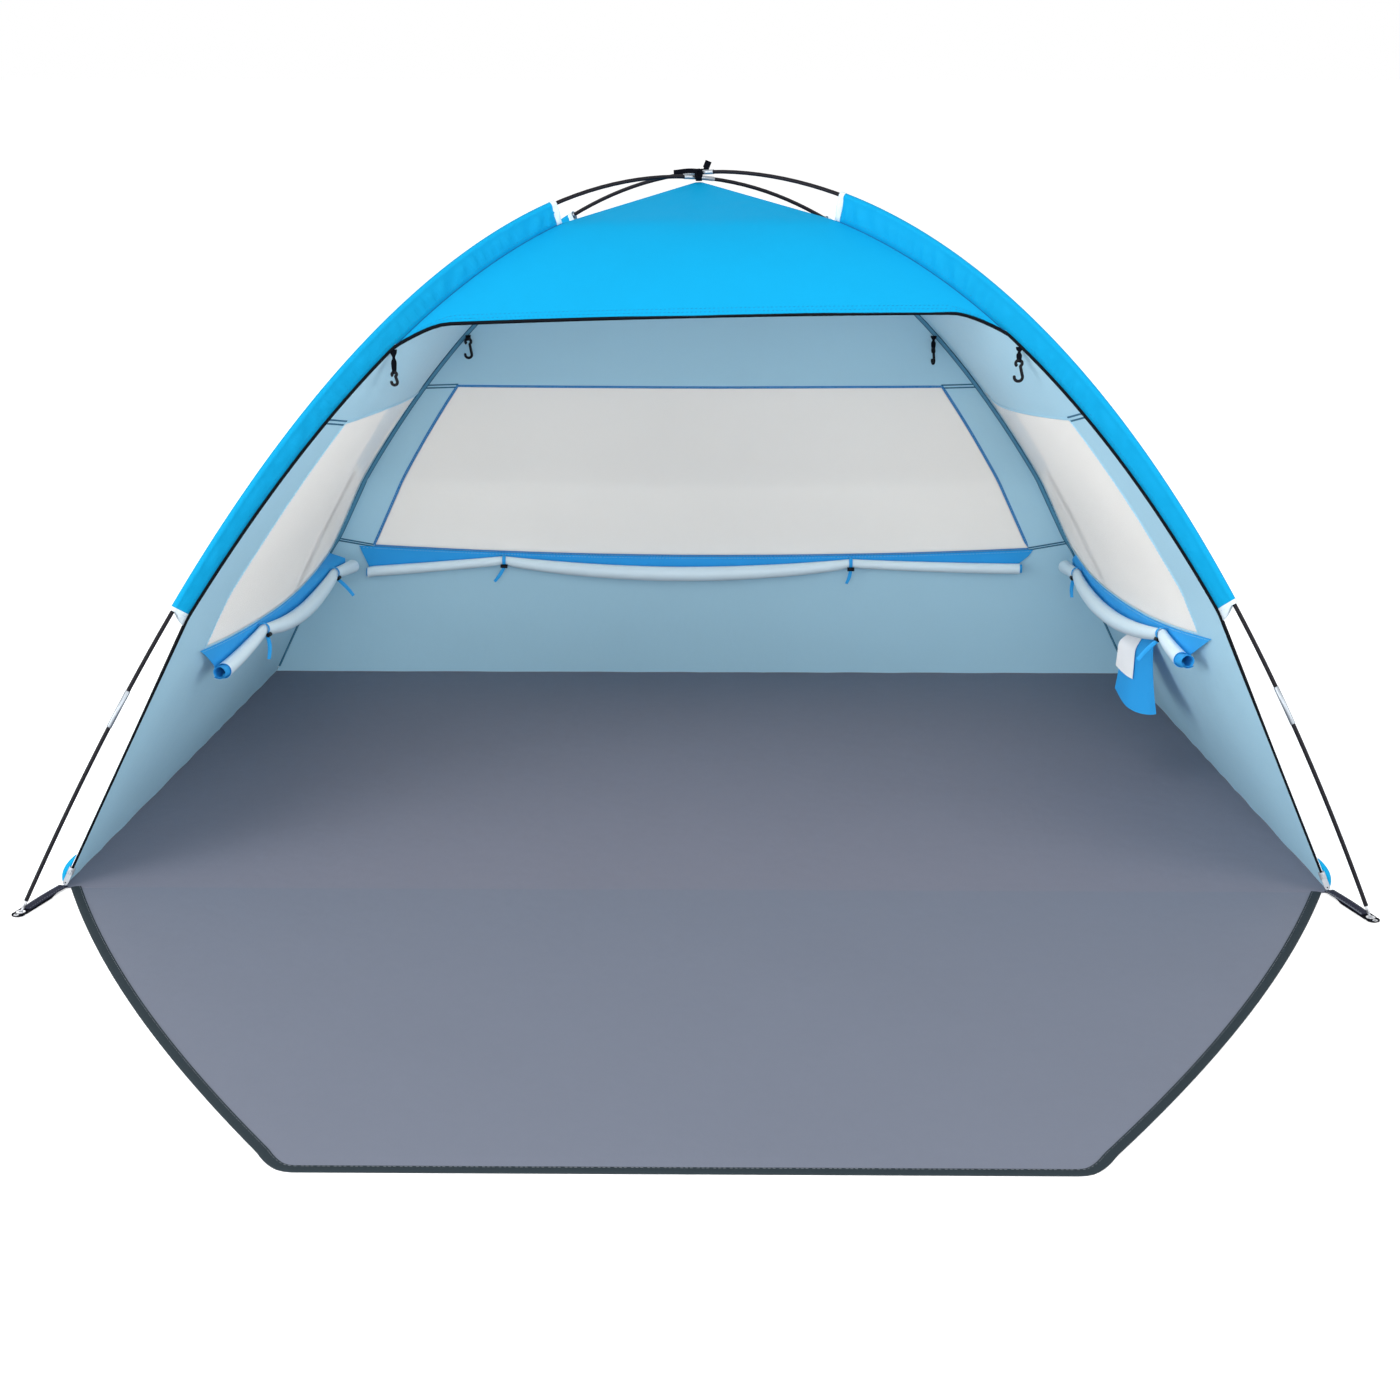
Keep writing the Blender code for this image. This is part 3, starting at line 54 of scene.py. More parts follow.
# Sizes of the tent, in metres, as in the solids
FLOOR_HALF_WIDTHS = {FRONT: 1.195, REAR: 1.050}
FLOOR_REACHES = {FRONT: 0.759, REAR: 0.661}
FOOT_OUTS = {FRONT: 0.045, REAR: 0.040}
FOOT_AHEADS = {FRONT: 0.130, REAR: 0.120}
LEG_BULGES = {(LEFT, FRONT): 0.004, (RIGHT, FRONT): 0.052, (LEFT, REAR): 0, (RIGHT, REAR): 0}
ARCH_HEIGHT = 1.263
ROD_RADIUS = 0.004
FERRULE_RADIUS = 0.0048
FERRULE_LENGTH = 0.075
TIP_RADIUS = 0.0032
TIP_LENGTH = 0.024
PIN_RADIUS = 0.0021
PIN_LENGTH = 0.010
PIN_GROUND_CLEARANCE = 0.0016
SECTIONS_PER_HALF = 5
SLEEVE_LOW_REACHES = {(LEFT, FRONT): 0.336, (RIGHT, FRONT): 0.308, (LEFT, REAR): 0.336, (RIGHT, REAR): 0.336}
SLEEVE_HIGH_REACH = 1.180
SLEEVE_WIDTHS = {FRONT: (0.034, 0.047, 0.046), REAR: (0.028, 0.036, 0.042)}
SLEEVE_LOW_SHARE = 0.40
SLEEVE_HIGH_SHARE = 0.90
SLEEVE_RADIUS = 0.0066
BROW_SHARE = 0.697
BROW_CORNER_DROP_SHARE = 0.0303
BROW_CORNER_SHARE = 0.055
TOP_SHARE = 0.997
START_SHARE = 0.0011
PANEL_SAG = 0.060
BEAD_RADIUS = 0.0032
CROWN_DROP = 0.0128


# Outline of the tent: pole arches, seams and walls

def mix(first, second, share):
    return first + (second - first) * share


def clamp(value, low=0.0, high=1.0):
    return min(high, max(low, value))


def smooth(value):
    """Ease from 0 to 1."""
    value = clamp(value)
    return value * value * (3 - 2 * value)


def bend(shares, share):
    """Parabola through three values at the start, the middle and the end."""
    start, middle, end = shares
    rising = start * (1 - share) * (1 - 2 * share)
    return rising + middle * 4 * share * (1 - share) + end * share * (2 * share - 1)


def spread(count, low=0, high=1):
    """Even steps from low to high, both ends among them."""
    return [mix(low, high, step / count) for step in range(count + 1)]


def corner_word(side, front):
    return ("front_" if front else "rear_") + WORDS[side]


def ground_point(side, front, out=0.0, ahead=0.0):
    """Point on the ground off a corner of the floor."""
    way = -1 if front else 1
    return Vector((side * (FLOOR_HALF_WIDTHS[front] + out), way * (FLOOR_REACHES[front] + ahead), 0))


def feet_line(side, front):
    """Foot of a pole, the way to its other foot and the distance."""
    foot = ground_point(side, front, FOOT_OUTS[front], FOOT_AHEADS[front])
    run = ground_point(-side, not front, FOOT_OUTS[not front], FOOT_AHEADS[not front]) - foot
    return foot, run.normalized(), run.length


def place_on_arch(side, front, chord, reach):
    """Place from -1 to 1 along a pole, with the bulge of the leg on that half."""
    off_middle = 2 * reach / chord - 1
    bulge = LEG_BULGES[side, front] if off_middle < 0 else LEG_BULGES[-side, not front]
    return off_middle, 4 * bulge


def arch_point(side, front, reach, height=ARCH_HEIGHT):
    foot, along, chord = feet_line(side, front)
    off_middle, bulge = place_on_arch(side, front, chord, reach)
    rise = 1 - off_middle ** 2 + bulge * (off_middle ** 2 - off_middle ** 4)
    return foot + along * reach + UP * height * rise


def arch_slope(side, front, reach):
    chord = feet_line(side, front)[2]
    off_middle, bulge = place_on_arch(side, front, chord, reach)
    return 2 * ARCH_HEIGHT / chord * (bulge * (2 * off_middle - 4 * off_middle ** 3) - 2 * off_middle)


def inward_normal(side, front, reach):
    along = feet_line(side, front)[1]
    return (along * arch_slope(side, front, reach) - UP).normalized()


LEFT_FOOT, LEFT_ALONG = feet_line(LEFT, FRONT)[:2]
CROSSING_REACH = -LEFT_FOOT.x / LEFT_ALONG.x
CROSSING = arch_point(LEFT, FRONT, CROSSING_REACH)
CROSSING_LEAN = atan2(arch_slope(LEFT, FRONT, CROSSING_REACH), LEFT_ALONG.y)
CROSSING_RISE = FERRULE_RADIUS / cos(CROSSING_LEAN)
APEX = CROSSING - UP * CROWN_DROP


def pole_height(side, front):
    """Height of a pole's arch: the right front one crosses over the other."""
    return ARCH_HEIGHT + (side if front else -side) * CROSSING_RISE


def sleeve_reach(side, front, share):
    return mix(SLEEVE_LOW_REACHES[side, front], SLEEVE_HIGH_REACH, share)


def seam_point(side, front, share):
    """Point on the seam under a pole, from the floor corner at 0 to the crown at 1."""
    along_sleeve = clamp((share - SLEEVE_LOW_SHARE) / (SLEEVE_HIGH_SHARE - SLEEVE_LOW_SHARE))
    reach = sleeve_reach(side, front, along_sleeve)
    inward = inward_normal(side, front, reach)
    point = arch_point(side, front, reach) + inward * bend(SLEEVE_WIDTHS[front], along_sleeve)
    if share < SLEEVE_LOW_SHARE:
        return ground_point(side, front).lerp(point, share / SLEEVE_LOW_SHARE)
    if share > SLEEVE_HIGH_SHARE:
        return point.lerp(APEX, (share - SLEEVE_HIGH_SHARE) / (1 - SLEEVE_HIGH_SHARE))
    return point


PANELS = {
    "left": ((LEFT, FRONT), (LEFT, REAR), Vector((LEFT, 0, 0))),
    "right": ((RIGHT, FRONT), (RIGHT, REAR), Vector((RIGHT, 0, 0))),
    "rear": ((LEFT, REAR), (RIGHT, REAR), Vector((0, 1, 0))),
    "brow": ((LEFT, FRONT), (RIGHT, FRONT), Vector((0, -1, 0))),
}
INWARD_GRIDS = ("left", "rear")
WINDOWS = {
    "left": ((0.133, 0.110), (0.982, 0.982), (0.336, 0.284, 0.268), (0.566, 0.552, 0.518)),
    "right": ((0.110, 0.095), (0.982, 0.982), (0.359, 0.294, 0.270), (0.561, 0.534, 0.516)),
    "rear": ((0.055, 0.061), (0.942, 0.934), (0.270, 0.254, 0.266), (0.519, 0.523, 0.519)),
}
SILL_SEAM_SHARE = 0.30
HEAD_SEAM_SHARE = 0.5667
SEAM_INSET = 0.0012
ZIP_INSET = 0.0042
ZIP_TOP_SHARE = 0.70
CLOTH = 0.0008
CREASE_SHIFTS = {"left": 0.0, "right": 1.7, "rear": 0.9, "brow": 2.6}


def crease(panel, across, up):
    """Small lasting folds of the taut cloth, none at the seams: metres outwards."""
    from_sides = min(1, 14 * across * (1 - across))
    held = from_sides * min(1, 10 * up) * min(1, 8 * (1 - up))
    shift = CREASE_SHIFTS[panel]
    wide = sin(9 * across + 5 * up + shift) * sin(4 * across - 11 * up + 2 * shift)
    fine = sin(31 * across + 17 * up + shift) * sin(13 * across - 29 * up)
    corner = exp(-14 * hypot(across, up - 0.35)) + exp(-14 * hypot(1 - across, up - 0.35))
    rays = sin(60 * atan2(up - 0.35, across + 0.02) + shift) * corner
    hem = sin(64 * across + 3 * sin(9 * across + shift)) * exp(-26 * up) * from_sides
    return held * (0.0016 * wide + 0.0005 * fine + 0.0012 * rays) + 0.0009 * hem


def panel_point(panel, across, up):
    """Point of a wall by its shares across, from one seam to the other, and up."""
    first, second, outward = PANELS[panel]
    start = seam_point(*first, up)
    run = seam_point(*second, up) - start
    at_side = panel in ("left", "right")
    inset = ZIP_INSET if at_side and up < ZIP_TOP_SHARE else SEAM_INSET
    point = start + run.normalized() * (inset + (run.length - inset - SEAM_INSET) * across)
    bow = max(0, 4 * across * (1 - across))
    if at_side and across > 0.5:
        bow **= 1 + smooth((point.z - 0.35) / 0.35)
    depth = PANEL_SAG * bow * sin(pi * min(1, point.z / ARCH_HEIGHT))
    return point - outward * (depth - crease(panel, across, up))


def panel_normal(panel, across, up):
    """Outward normal of a wall."""
    step = 0.004
    near, far = clamp(across - step), clamp(across + step)
    low, high = clamp(up - step, START_SHARE, TOP_SHARE), clamp(up + step, START_SHARE, TOP_SHARE)
    sideways = panel_point(panel, far, up) - panel_point(panel, near, up)
    upward = panel_point(panel, across, high) - panel_point(panel, across, low)
    normal = sideways.cross(upward).normalized()
    return normal if normal.dot(PANELS[panel][2]) > 0 else -normal


def on_wall(panel, places, lift, way=1):
    """Points just off a wall, outside it or inside (way -1), with the normals there."""
    normals = [panel_normal(panel, *place) * way for place in places]
    return [panel_point(panel, *place) + normal * lift for place, normal in zip(places, normals)], normals


def brow_edge_share(across):
    near_seam = min(across, 1 - across) / BROW_CORNER_SHARE
    return BROW_SHARE - BROW_CORNER_DROP_SHARE * max(0, 1 - near_seam) ** 2


# Colours and materials

def srgb(red, green, blue):
    """Linear colour of an 8-bit display colour."""
    def linear(value):
        value /= 255
        return value / 12.92 if value <= 0.04045 else ((value + 0.055) / 1.055) ** 2.4
    return (linear(red), linear(green), linear(blue), 1)


def scaled(colour, factor):
    return tuple(min(1, channel * factor) for channel in colour[:3]) + (1,)


class Nodes:
    """Short way to add and join the nodes of a new material or world."""

    def __init__(self, owner):
        owner.use_nodes = True
        self.owner = owner
        self.tree = owner.node_tree

    def feed(self, node, inputs):
        """Join or set a node's inputs, by number or by name with _ for a space."""
        for key, value in inputs.items():
            socket = node.inputs[key if isinstance(key, int) else key.replace("_", " ")]
            if isinstance(value, bpy.types.NodeSocket):
                self.tree.links.new(value, socket)
            else:
                socket.default_value = value
        return node

    def add(self, kind, **inputs):
        return self.feed(self.tree.nodes.new("ShaderNode" + kind), inputs).outputs

    def math(self, operation, *values):
        node = self.tree.nodes.new("ShaderNodeMath")
        node.operation = operation
        return self.feed(node, dict(enumerate(values))).outputs[0]

    def blend_colour(self, share, first, second):
        node = self.tree.nodes.new("ShaderNodeMix")
        node.data_type = "RGBA"
        return self.feed(node, {0: share, 6: first, 7: second}).outputs[2]

    def place(self):
        return self.add("TexCoord")["Object"]

    def axes(self):
        return self.add("SeparateXYZ", Vector=self.place())

    def wave(self, value, pitch):
        return self.math("SINE", self.math("MULTIPLY", value, 2 * pi / pitch))

    def noise(self, scale, detail=4.0, roughness=0.55):
        return self.add("TexNoise", Vector=self.place(), Scale=scale, Detail=detail,
                        Roughness=roughness)["Fac"]

    def bump(self, height, distance, strength=1.0, **under):
        return self.add("Bump", Height=height, Distance=distance, Strength=strength, **under)["Normal"]

    def background_rays(self):
        """1 on rays that show the white background: the camera's, and those that gloss and glass send on."""
        rays = self.add("LightPath")
        seen = self.math("MAXIMUM", rays["Is Camera Ray"], rays["Is Glossy Ray"])
        return self.math("MAXIMUM", seen, rays["Is Transmission Ray"])

    def finish(self, colour, normal, roughness, **more):
        shader = self.tree.nodes["Principled BSDF"]
        self.feed(shader, {"Base Color": colour, "Roughness": roughness, "Normal": normal, **more})
        return self.owner


def new_material(name):
    return Nodes(bpy.data.materials.new(name))


def cloth(name, colour, axes, roughness, shade=0.10, crumple=0.0012, pitch=0.0012, gloss=0.15):
    """Woven cloth: thread relief along two of its axes, soft crumples and a slightly uneven dye."""
    nodes = new_material(name)
    colour = srgb(*colour)
    spots = nodes.axes()
    threads = nodes.math("MULTIPLY", *[nodes.wave(spots[axis], pitch) for axis in axes])
    tone = nodes.blend_colour(nodes.noise(3.0, 3.0), scaled(colour, 1 - shade), scaled(colour, 1 + shade))
    tone = nodes.blend_colour(nodes.math("MULTIPLY_ADD", threads, 0.035, 0.5), scaled(colour, 0.94), tone)
    normal = nodes.bump(threads, pitch / 12, 0.35, Normal=nodes.bump(nodes.noise(22.0, 3.0, 0.5), crumple))
    patchy = nodes.math("MULTIPLY_ADD", nodes.noise(40.0, 2.0), 0.12, roughness - 0.06)
    return nodes.finish(tone, normal, patchy, Specular_IOR_Level=gloss)


def plain(name, colour, roughness, gloss=0.5, metallic=0.0):
    """Moulded, painted, spun or metal surface with a fine grain and faint wear."""
    nodes = new_material(name)
    colour = srgb(*colour)
    tone = nodes.blend_colour(nodes.noise(38.0, 5.0), scaled(colour, 0.92), scaled(colour, 1.08))
    rough = nodes.math("MULTIPLY_ADD", nodes.noise(90.0), 0.16, roughness - 0.08)
    normal = nodes.bump(nodes.noise(260.0), 0.00008)
    return nodes.finish(tone, normal, rough, Specular_IOR_Level=gloss, Metallic=metallic)


NET = srgb(253, 251, 246)
NET_PITCH = 0.0022


def net():
    """Fine see-through net: a grid of pale threads with holes between them."""
    nodes = new_material("window_net")
    x, y, z = nodes.axes()
    threads = nodes.math("MAXIMUM", nodes.wave(nodes.math("ADD", x, y), NET_PITCH), nodes.wave(z, NET_PITCH))
    cover = nodes.math("MULTIPLY_ADD", threads, 0.10, 0.66)
    tone = nodes.blend_colour(nodes.noise(6.0), scaled(NET, 0.97), NET)
    return nodes.finish(tone, nodes.bump(threads, 0.0001, 0.3), 0.9, Alpha=cover, Specular_IOR_Level=0.1)


BLUE = (14, 155, 207)
COVER_BLUE = (48, 162, 233)
# Inside silver coating, partly its own colour and partly painted light: its blue tint and brightness stand
# in for daylight glowing through the blue outer cloth.
SILVER_WITH_BLUE_GLOW = (182, 225, 244)
BLACK = (7, 9, 17)
LYING = (0, 1)
FACING_SIDE = (1, 2)
FACING_FRONT = (0, 2)

outer_side = cloth("blue_cloth_side", BLUE, FACING_SIDE, 0.52, gloss=0.04)
outer_end = cloth("blue_cloth_end", BLUE, FACING_FRONT, 0.52, gloss=0.04)
# Inside faces: the silver coating with a painted blue glow of light through the outer cloth.
inner_side = cloth("silver_cloth_side", SILVER_WITH_BLUE_GLOW, FACING_SIDE, 0.42, 0.05, gloss=0.18)
inner_end = cloth("silver_cloth_end", SILVER_WITH_BLUE_GLOW, FACING_FRONT, 0.42, 0.05, gloss=0.18)
cover_blue = cloth("cover_blue_cloth", COVER_BLUE, FACING_FRONT, 0.55)
cover_silver = cloth("cover_silver_cloth", (223, 242, 251), FACING_FRONT, 0.34, 0.04, 0.0016, gloss=0.4)
ribbon_blue = cloth("ribbon_blue", COVER_BLUE, FACING_FRONT, 0.6, 0.06, 0.0004, 0.0009)
floor_cloth = cloth("floor_cloth", (115, 121, 136), LYING, 0.62, 0.05, 0.0010)
# Same floor cloth as the porch flap, with a painted warm tint inside the tent that offsets the blue light
# the walls bounce onto it.
inner_floor_cloth = cloth("inner_floor_cloth", (120, 122, 136), LYING, 0.62, 0.05, 0.0010)
binding_cloth = cloth("binding_tape", (40, 50, 56), LYING, 0.75, 0.08, 0.0003, 0.0010)
teal_cloth = cloth("seam_tape", (92, 154, 184), FACING_SIDE, 0.6, 0.08, 0.0003, 0.0010)
webbing_navy = cloth("navy_webbing", (26, 29, 48), LYING, 0.7, 0.15, 0.0003, 0.0016)
sleeve_blue = cloth("sleeve_blue_cloth", (14, 153, 205), FACING_FRONT, 0.52, crumple=0.0026, gloss=0.04)
edge_blue = cloth("edge_blue", (6, 98, 150), FACING_FRONT, 0.6, 0.06, 0.0003, 0.0009)
piping_blue = cloth("piping_blue", (60, 132, 196), FACING_FRONT, 0.6, 0.06, 0.0003, 0.0009)
seam_line = cloth("seam_line", (58, 112, 142), FACING_FRONT, 0.7, 0.08, 0.0003, 0.0010)
lining_white = cloth("lining_white", (214, 228, 236), FACING_FRONT, 0.5, 0.04, 0.0004)
label_cloth = cloth("label_cloth", (238, 240, 242), FACING_SIDE, 0.7, 0.03, 0.0004, 0.0008)
webbing = cloth("black_webbing", BLACK, LYING, 0.75, 0.2, 0.0003, 0.0016, 0.04)
zip_tape = cloth("zip_tape", BLACK, FACING_SIDE, 0.8, 0.2, 0.0003, 0.0010, 0.04)
thread_pale = plain("pale_thread", (150, 200, 224), 0.7)
thread_grey = plain("grey_thread", (120, 126, 134), 0.7, 0.2)
thread_dark = plain("dark_thread", (12, 110, 170), 0.7)
teal_dark = plain("seam_edge", (30, 84, 112), 0.7, 0.2)
rod_black = plain("rod_black", (16, 14, 22), 0.38, 0.15)
moulded_black = plain("moulded_black", (8, 9, 16), 0.45, 0.15)
zip_teeth = plain("zip_teeth", (5, 8, 16), 0.5, 0.08)
bright_metal = plain("bright_metal", (214, 216, 220), 0.28, metallic=1.0)
ferrule_metal = plain("ferrule_metal", (158, 165, 172), 0.36, metallic=0.8)
pull_paint = plain("pull_paint", (176, 181, 188), 0.35, metallic=0.5)
window_net = net()


# Mesh building

def add_mesh(name, points, faces, materials, indices=None, smooth_faces=True):
    mesh = bpy.data.meshes.new(name)
    mesh.from_pydata([tuple(point) for point in points], [], faces)
    for material in materials:
        mesh.materials.append(material)
    if indices:
        mesh.polygons.foreach_set("material_index", indices)
    mesh.polygons.foreach_set("use_smooth", [smooth_faces] * len(faces))
    mesh.update()
    thing = bpy.data.objects.new(name, mesh)
    bpy.context.scene.collection.objects.link(thing)
    return thing


def finish_piece(piece, slot, body, *nodes):
    """Body and solids of a piece; the material slot is not used, and a body of None leaves the piece
    unattached.
    """
    if body:
        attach(piece, body)
    if nodes:
        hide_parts(*nodes)
    return piece


def grid_faces(rows, columns, skip=None, wrap=False):
    faces = []
    for row in range(rows - 1):
        low = row * columns
        high = low + columns
        for column in range(columns if wrap else columns - 1):
            after = (column + 1) % columns
            if not (skip and skip(row, column)):
                faces.append((low + column, low + after, high + after, high + column))
    return faces


def shell(name, rows, thickness, cloths, slot, *nodes, body=ROOT, skip=None, wrap=False, flip=False):
    """Closed sheet round a grid of points, of one material or of a pair for its face and its back."""
    faces = grid_faces(len(rows), len(rows[0]), skip, wrap)
    if flip:
        faces = [face[::-1] for face in faces]
    used = sorted({corner for face in faces for corner in face})
    number = {old: new for new, old in enumerate(used)}
    points = [point for row in rows for point in row]
    points = [points[old] for old in used]
    faces = [tuple(number[corner] for corner in face) for face in faces]
    normals = [Vector() for point in points]
    for face in faces:
        first, second, third, fourth = (points[corner] for corner in face)
        facing = (third - first).cross(fourth - second)
        for corner in face:
            normals[corner] += facing
    count = len(points)
    half = thickness / 2
    layers = [point + normal.normalized() * half for point, normal in zip(points, normals)]
    layers += [point - normal.normalized() * half for point, normal in zip(points, normals)]
    edges = {(face[place], face[(place + 1) % 4]) for face in faces for place in range(4)}
    rims = sorted((b, a, a + count, b + count) for a, b in edges if (b, a) not in edges)
    backs = [(a + count, d + count, c + count, b + count) for a, b, c, d in faces]
    indices = [0] * len(faces) + [1] * len(backs) + [0] * len(rims)
    cloths = cloths if isinstance(cloths, tuple) else (cloths, cloths)
    thing = add_mesh(name, layers, faces + backs + rims, cloths, indices)
    borders = {(min(a, b), max(a, b)) for b, a, low, high in rims}
    borders |= {(low + count, high + count) for low, high in borders}
    for edge in thing.data.edges:
        if tuple(sorted(edge.vertices)) in borders:
            edge.use_edge_sharp = True
    return finish_piece(thing, slot, body, *nodes)


def path_length(points):
    return sum((after - before).length for before, after in zip(points, points[1:]))


def grid_area(rows, skip=None):
    total = 0.0
    for row in range(len(rows) - 1):
        for column in range(len(rows[0]) - 1):
            if not (skip and skip(row, column)):
                one = rows[row + 1][column + 1] - rows[row][column]
                other = rows[row + 1][column] - rows[row][column + 1]
                total += one.cross(other).length / 2
    return total


def declare_cloth(rows, skip=None):
    """Work out the area of a grid's cloth; nothing is done with it."""
    area = grid_area(rows, skip)


def directions(points):
    """Unit direction of travel at each point of a path."""
    ends = zip(points[:1] + points[:-1], points[1:] + points[-1:])
    return [(after - before).normalized() for before, after in ends]


def resample(points, step):
    """Points at an even spacing along a path."""
    made = [points[0]]
    carried = 0.0
    for before, after in zip(points, points[1:]):
        length = (after - before).length
        reach = step - carried
        while reach <= length:
            made.append(before.lerp(after, reach / length))
            reach += step
        carried = length - (reach - step)
    return made


def rod(name, points, radii, material, sides, slot, *nodes, body=ROOT):
    """Closed round bar of one radius or of a radius for each point."""
    if not isinstance(radii, list):
        radii = [radii] * len(points)
    ways = directions(points)
    across = ways[0].cross(UP if abs(ways[0].z) < 0.9 else Vector((1, 0, 0))).normalized()
    turns = [2 * pi * side / sides for side in range(sides)]
    corners = []
    for point, way, radius in zip(points, ways, radii):
        across = (across - way * across.dot(way)).normalized()
        other = way.cross(across)
        corners += [point + (across * cos(turn) + other * sin(turn)) * radius for turn in turns]
    last = len(corners) - sides
    faces = grid_faces(len(points), sides, wrap=True)
    faces += [tuple(range(sides - 1, -1, -1)), tuple(range(last, last + sides))]
    thing = add_mesh(name, corners, faces, [material])
    thing.data.polygons[-1].use_smooth = False
    thing.data.polygons[-2].use_smooth = False
    return finish_piece(thing, slot, body, *nodes)


def tape_rows(points, normals, widths, crown):
    """Flat strip along a path, lying square to the normals, its middle raised by crown."""
    if not isinstance(widths, list):
        widths = [widths] * len(points)
    rows = []
    for point, normal, way, width in zip(points, normals, directions(points), widths):
        side = way.cross(normal).normalized()
        rows.append([point + side * share * (width / 2) + normal * crown * (1 - share * share)
                     for share in (-1, -0.6, 0, 0.6, 1)])
    return rows


def tape(name, points, normals, widths, thickness, material, crown, slot="blue_cloth"):
    rows = tape_rows(points, normals, widths, crown)
    return shell(name, rows, thickness, material, slot, flip=True)


LONG_STITCH = (0.0040, 0.0030, 0.0004)
HEM_STITCH = (0.0040, 0.0030, 0.0003)
SLEEVE_STITCH = (0.0036, 0.0028, 0.0003)
SHORT_STITCH = (0.0030, 0.0020, 0.0003)
STITCH_SIDES = ((0, 1), (1, 2), (2, 3), (3, 0))


def sew(name, runs, material, stitch, slot="blue_cloth", body=ROOT):
    """Rows of single stitches: each run is a path with the normals that lift it off the cloth."""
    length, gap, radius = stitch
    points = []
    faces = []
    for path, normals in runs:
        travelled = 0.0
        due = 0.0
        for before, after, normal in zip(path, path[1:], normals):
            step = (after - before).length
            way = (after - before).normalized()
            side = way.cross(normal).normalized()
            while due < travelled + step - length:
                start = before + way * (due - travelled)
                base = len(points)
                for end in (start, start + way * length):
                    points += [end - side * radius, end + normal * radius * 1.6, end + side * radius,
                               end - normal * radius]
                faces += [(base + a, base + b, base + 4 + b, base + 4 + a) for a, b in STITCH_SIDES]
                faces += [(base + 3, base + 2, base + 1, base), (base + 4, base + 5, base + 6, base + 7)]
                due += length + gap
            travelled += step
            due = max(due, travelled)
    return finish_piece(add_mesh(name, points, faces, [material], smooth_faces=False), slot, body)


def dress_node(node, material):
    """Give a solid that keeps its shape its finish."""
    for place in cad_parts[node].material_slots:
        place.material = material


# Walls, windows and brow: last rows and columns of the blocks of a wall's grid

SILL_ROW = 12
HEAD_ROW = 32
TOP_ROW = 62
NEAR_COLUMN = 5
FAR_COLUMN = 41
LAST_COLUMN = 46
BROW_ROWS = 26
NET_THICKNESS = 0.0004


def window_shares(panel, column, row):
    """Shares across and up a wall for a step of its grid, whose middle block is the window."""
    first_edge, second_edge, sill, head = WINDOWS[panel]
    up_window = clamp((row - SILL_ROW) / (HEAD_ROW - SILL_ROW))
    near = mix(*first_edge, up_window)
    far = mix(*second_edge, up_window)
    if column <= NEAR_COLUMN:
        across = near * column / NEAR_COLUMN
        away = 1 - column / NEAR_COLUMN
    elif column <= FAR_COLUMN:
        across = mix(near, far, (column - NEAR_COLUMN) / (FAR_COLUMN - NEAR_COLUMN))
        away = 0
    else:
        away = (column - FAR_COLUMN) / (LAST_COLUMN - FAR_COLUMN)
        across = mix(far, 1, away)
    marks = [(0, START_SHARE, START_SHARE), (SILL_ROW, SILL_SEAM_SHARE, bend(sill, across)),
             (HEAD_ROW, HEAD_SEAM_SHARE, bend(head, across)), (TOP_ROW, TOP_SHARE, TOP_SHARE)]
    block = (row > SILL_ROW) + (row > HEAD_ROW)
    (start, low, low_share), (end, high, high_share) = marks[block:block + 2]
    level = mix(low, high, (row - start) / (end - start))
    inside = mix(low_share, high_share, (level - low) / (high - low))
    return across, mix(inside, level, away)


def in_window(row, column):
    return SILL_ROW <= row < HEAD_ROW and NEAR_COLUMN <= column < FAR_COLUMN


def build_wall(panel, cloths):
    """Wall with its window left open, and the net in the window."""
    flip = panel in INWARD_GRIDS
    rows = [[panel_point(panel, *window_shares(panel, column, row)) for column in range(LAST_COLUMN + 1)]
            for row in range(TOP_ROW + 1)]
    wall = shell(panel + "_canopy", rows, CLOTH, cloths, "blue_cloth", panel + "_wall", skip=in_window,
                 flip=flip)
    trims = build_piping(panel) + build_wall_seams(panel)
    declare_cloth(rows, in_window)
    rows = [row[NEAR_COLUMN:FAR_COLUMN + 1] for row in rows[SILL_ROW:HEAD_ROW + 1]]
    window = shell(panel + "_net", rows, NET_THICKNESS, window_net, "window_net",
                   panel + "_window", flip=flip)
    declare_cloth(rows)


TRIM_THICKNESS = 0.0006
PIPING_WIDTHS = {"inside": 0.006, "outside": 0.010}
PIPING_LIFT = 0.0010
WALL_SEAM_WIDTH = 0.0034
WALL_SEAM_LIFT = 0.0008
FACES = (("inside", -1), ("outside", 1))


def build_piping(panel):
    """Folded tape sewn round a window, inside and outside, with its stitches."""
    steps = [(column, SILL_ROW) for column in range(NEAR_COLUMN, FAR_COLUMN)]
    steps += [(FAR_COLUMN, row) for row in range(SILL_ROW, HEAD_ROW)]
    steps += [(column, HEAD_ROW) for column in range(FAR_COLUMN, NEAR_COLUMN, -1)]
    steps += [(NEAR_COLUMN, row) for row in range(HEAD_ROW, SILL_ROW - 1, -1)]
    border = [window_shares(panel, *step) for step in steps]
    made = []
    for face, way in FACES:
        points, normals = on_wall(panel, border, PIPING_LIFT, way)
        colour = inner_side if face == "inside" and panel != "rear" else piping_blue
        made.append(tape(f"{panel}_piping_{face}", points, normals, PIPING_WIDTHS[face], TRIM_THICKNESS,
                         colour, 0.0006))
        raised = [point + normal * PIPING_LIFT for point, normal in zip(points, normals)]
        made.append(sew(f"{panel}_piping_stitches_{face}", [(raised, normals)], thread_pale, LONG_STITCH))
    return made


WALL_SEAMS = {
    "rear": (("head", 0, 0.517), ("head", 1, 0.520), ("sill", 0, 0.278), ("sill", 1, 0.275)),
    "left": (("head", 0, 0.577),),
    "right": (("head", 0, 0.567),),
}


